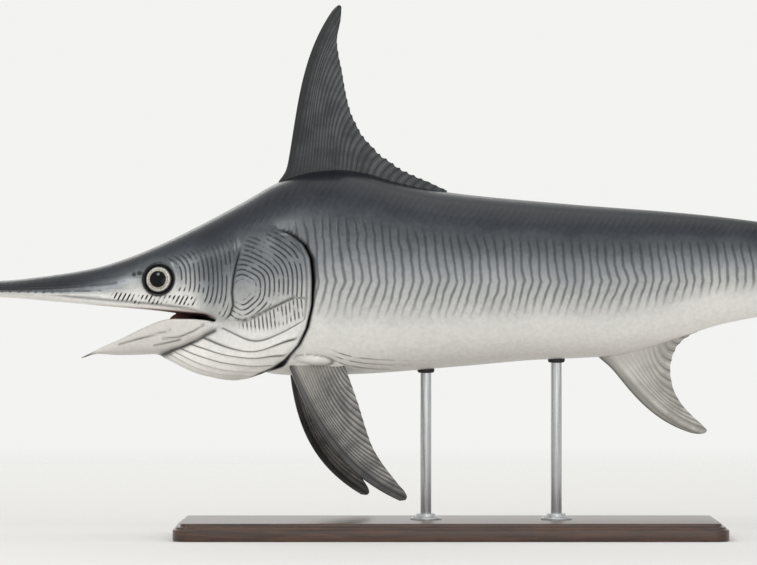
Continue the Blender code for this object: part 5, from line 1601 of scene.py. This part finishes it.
# %% Floor and surroundings
FLOOR_REACH, FLOOR_LEVEL = 7.0, -0.0005
floor = start("circle", "floor", vertices=96, radius=FLOOR_REACH, fill_type="NGON",
              location=(0, 0, FLOOR_LEVEL))
paper, tree, place = blank("matt_pale_floor")
far = add(tree, "ShaderNodeVectorMath", [place], operation="LENGTH").outputs["Value"]
far = add(tree, MATH, [far, FLOOR_REACH], operation="DIVIDE")
cover = add(tree, RAMP, [far], [(0.2, WHITE), (0.95, BLACK)])
shader = add(tree, SHADER, {"Base Color": "#dcdbd9", "Roughness": 0.85, "Alpha": cover})
add(tree, OUTPUT, [shader])
give(paper, floor)

sky = bpy.data.worlds.new("pale_surroundings")
bpy.context.scene.world = sky
sky.use_nodes = True
glow = sky.node_tree.nodes["Background"].inputs
glow["Color"].default_value, glow["Strength"].default_value = linear("#f3f3f1"), 1.0
bpy.context.scene.view_settings.view_transform = "Standard"
print("floor finish:", paper.name, "surroundings:", sky.name)

# %% Lamps
# Each lamp has its place, the point it is aimed at, its width in metres and its power in watts.
LAMPS = {
    "key_lamp": ((-2.6, -4.4, 4.2), (-0.2, 0, 0.6), 1.6, 75),
    "side_lamp": ((3.4, -3.6, 2.2), (0.2, 0, 0.6), 2.6, 15),
    "back_lamp": ((-1.0, 4.6, 3.6), (0, 0, 0.7), 3.0, 30),
    "top_lamp": ((0.4, 0.2, 5.2), (0, 0, 0.6), 3.2, 20),
    "low_lamp": ((0.6, -4.4, 0.5), (-0.1, 0, 0.45), 3.0, 22),
}
for name, (place, target, size, power) in LAMPS.items():
    bpy.ops.object.select_all(action="DESELECT")
    aim = (Vector(target) - Vector(place)).to_track_quat("-Z", "Y").to_euler()
    bpy.ops.object.light_add(type="AREA", location=place, rotation=aim)
    lamp = bpy.context.object
    lamp.name = name
    lamp.data.shape, lamp.data.size, lamp.data.energy = "DISK", size, power

# %% [markdown]
# ## What each piece stands for
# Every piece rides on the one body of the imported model. The new skin stands for all the parts of flesh
# that it covers, each fin, eye and part of the stand for its own, and the floor is only stage.

# %% Hand the pieces over
stands_for = {
    skin: ("skin", ["bill", "head", "lower_jaw", "throat", "gill_cover_left", "gill_cover_right",
                    "torso", "tail_stock"]),
    fins[0]: ("fin_skin", ["first_dorsal_fin"]), fins[1]: ("fin_skin", ["first_anal_fin"]),
    fins[2]: ("fin_skin", ["second_dorsal_fin"]), fins[3]: ("fin_skin", ["second_anal_fin"]),
    fins[4]: ("fin_skin", ["tail_fin_upper", "tail_fin_lower"]),
    fins[5]: ("fin_skin", ["pectoral_fin_left"]), fins[6]: ("fin_skin", ["pectoral_fin_right"]),
    eyes[0]: ("eye", ["eye_left"]), eyes[1]: ("eye", ["eye_right"]), board: ("stand_wood", ["stand_base"]),
    rods[0]: ("stand_steel", ["stand_rod_front"]), rods[1]: ("stand_steel", ["stand_rod_rear"]),
    **{piece: ("stand_steel", []) for piece in (*feet, *rings)},
}
for piece, (slot, nodes) in stands_for.items():
    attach(piece, "root")
    if nodes:
        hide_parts(*nodes)
print("pieces:", len(stands_for))
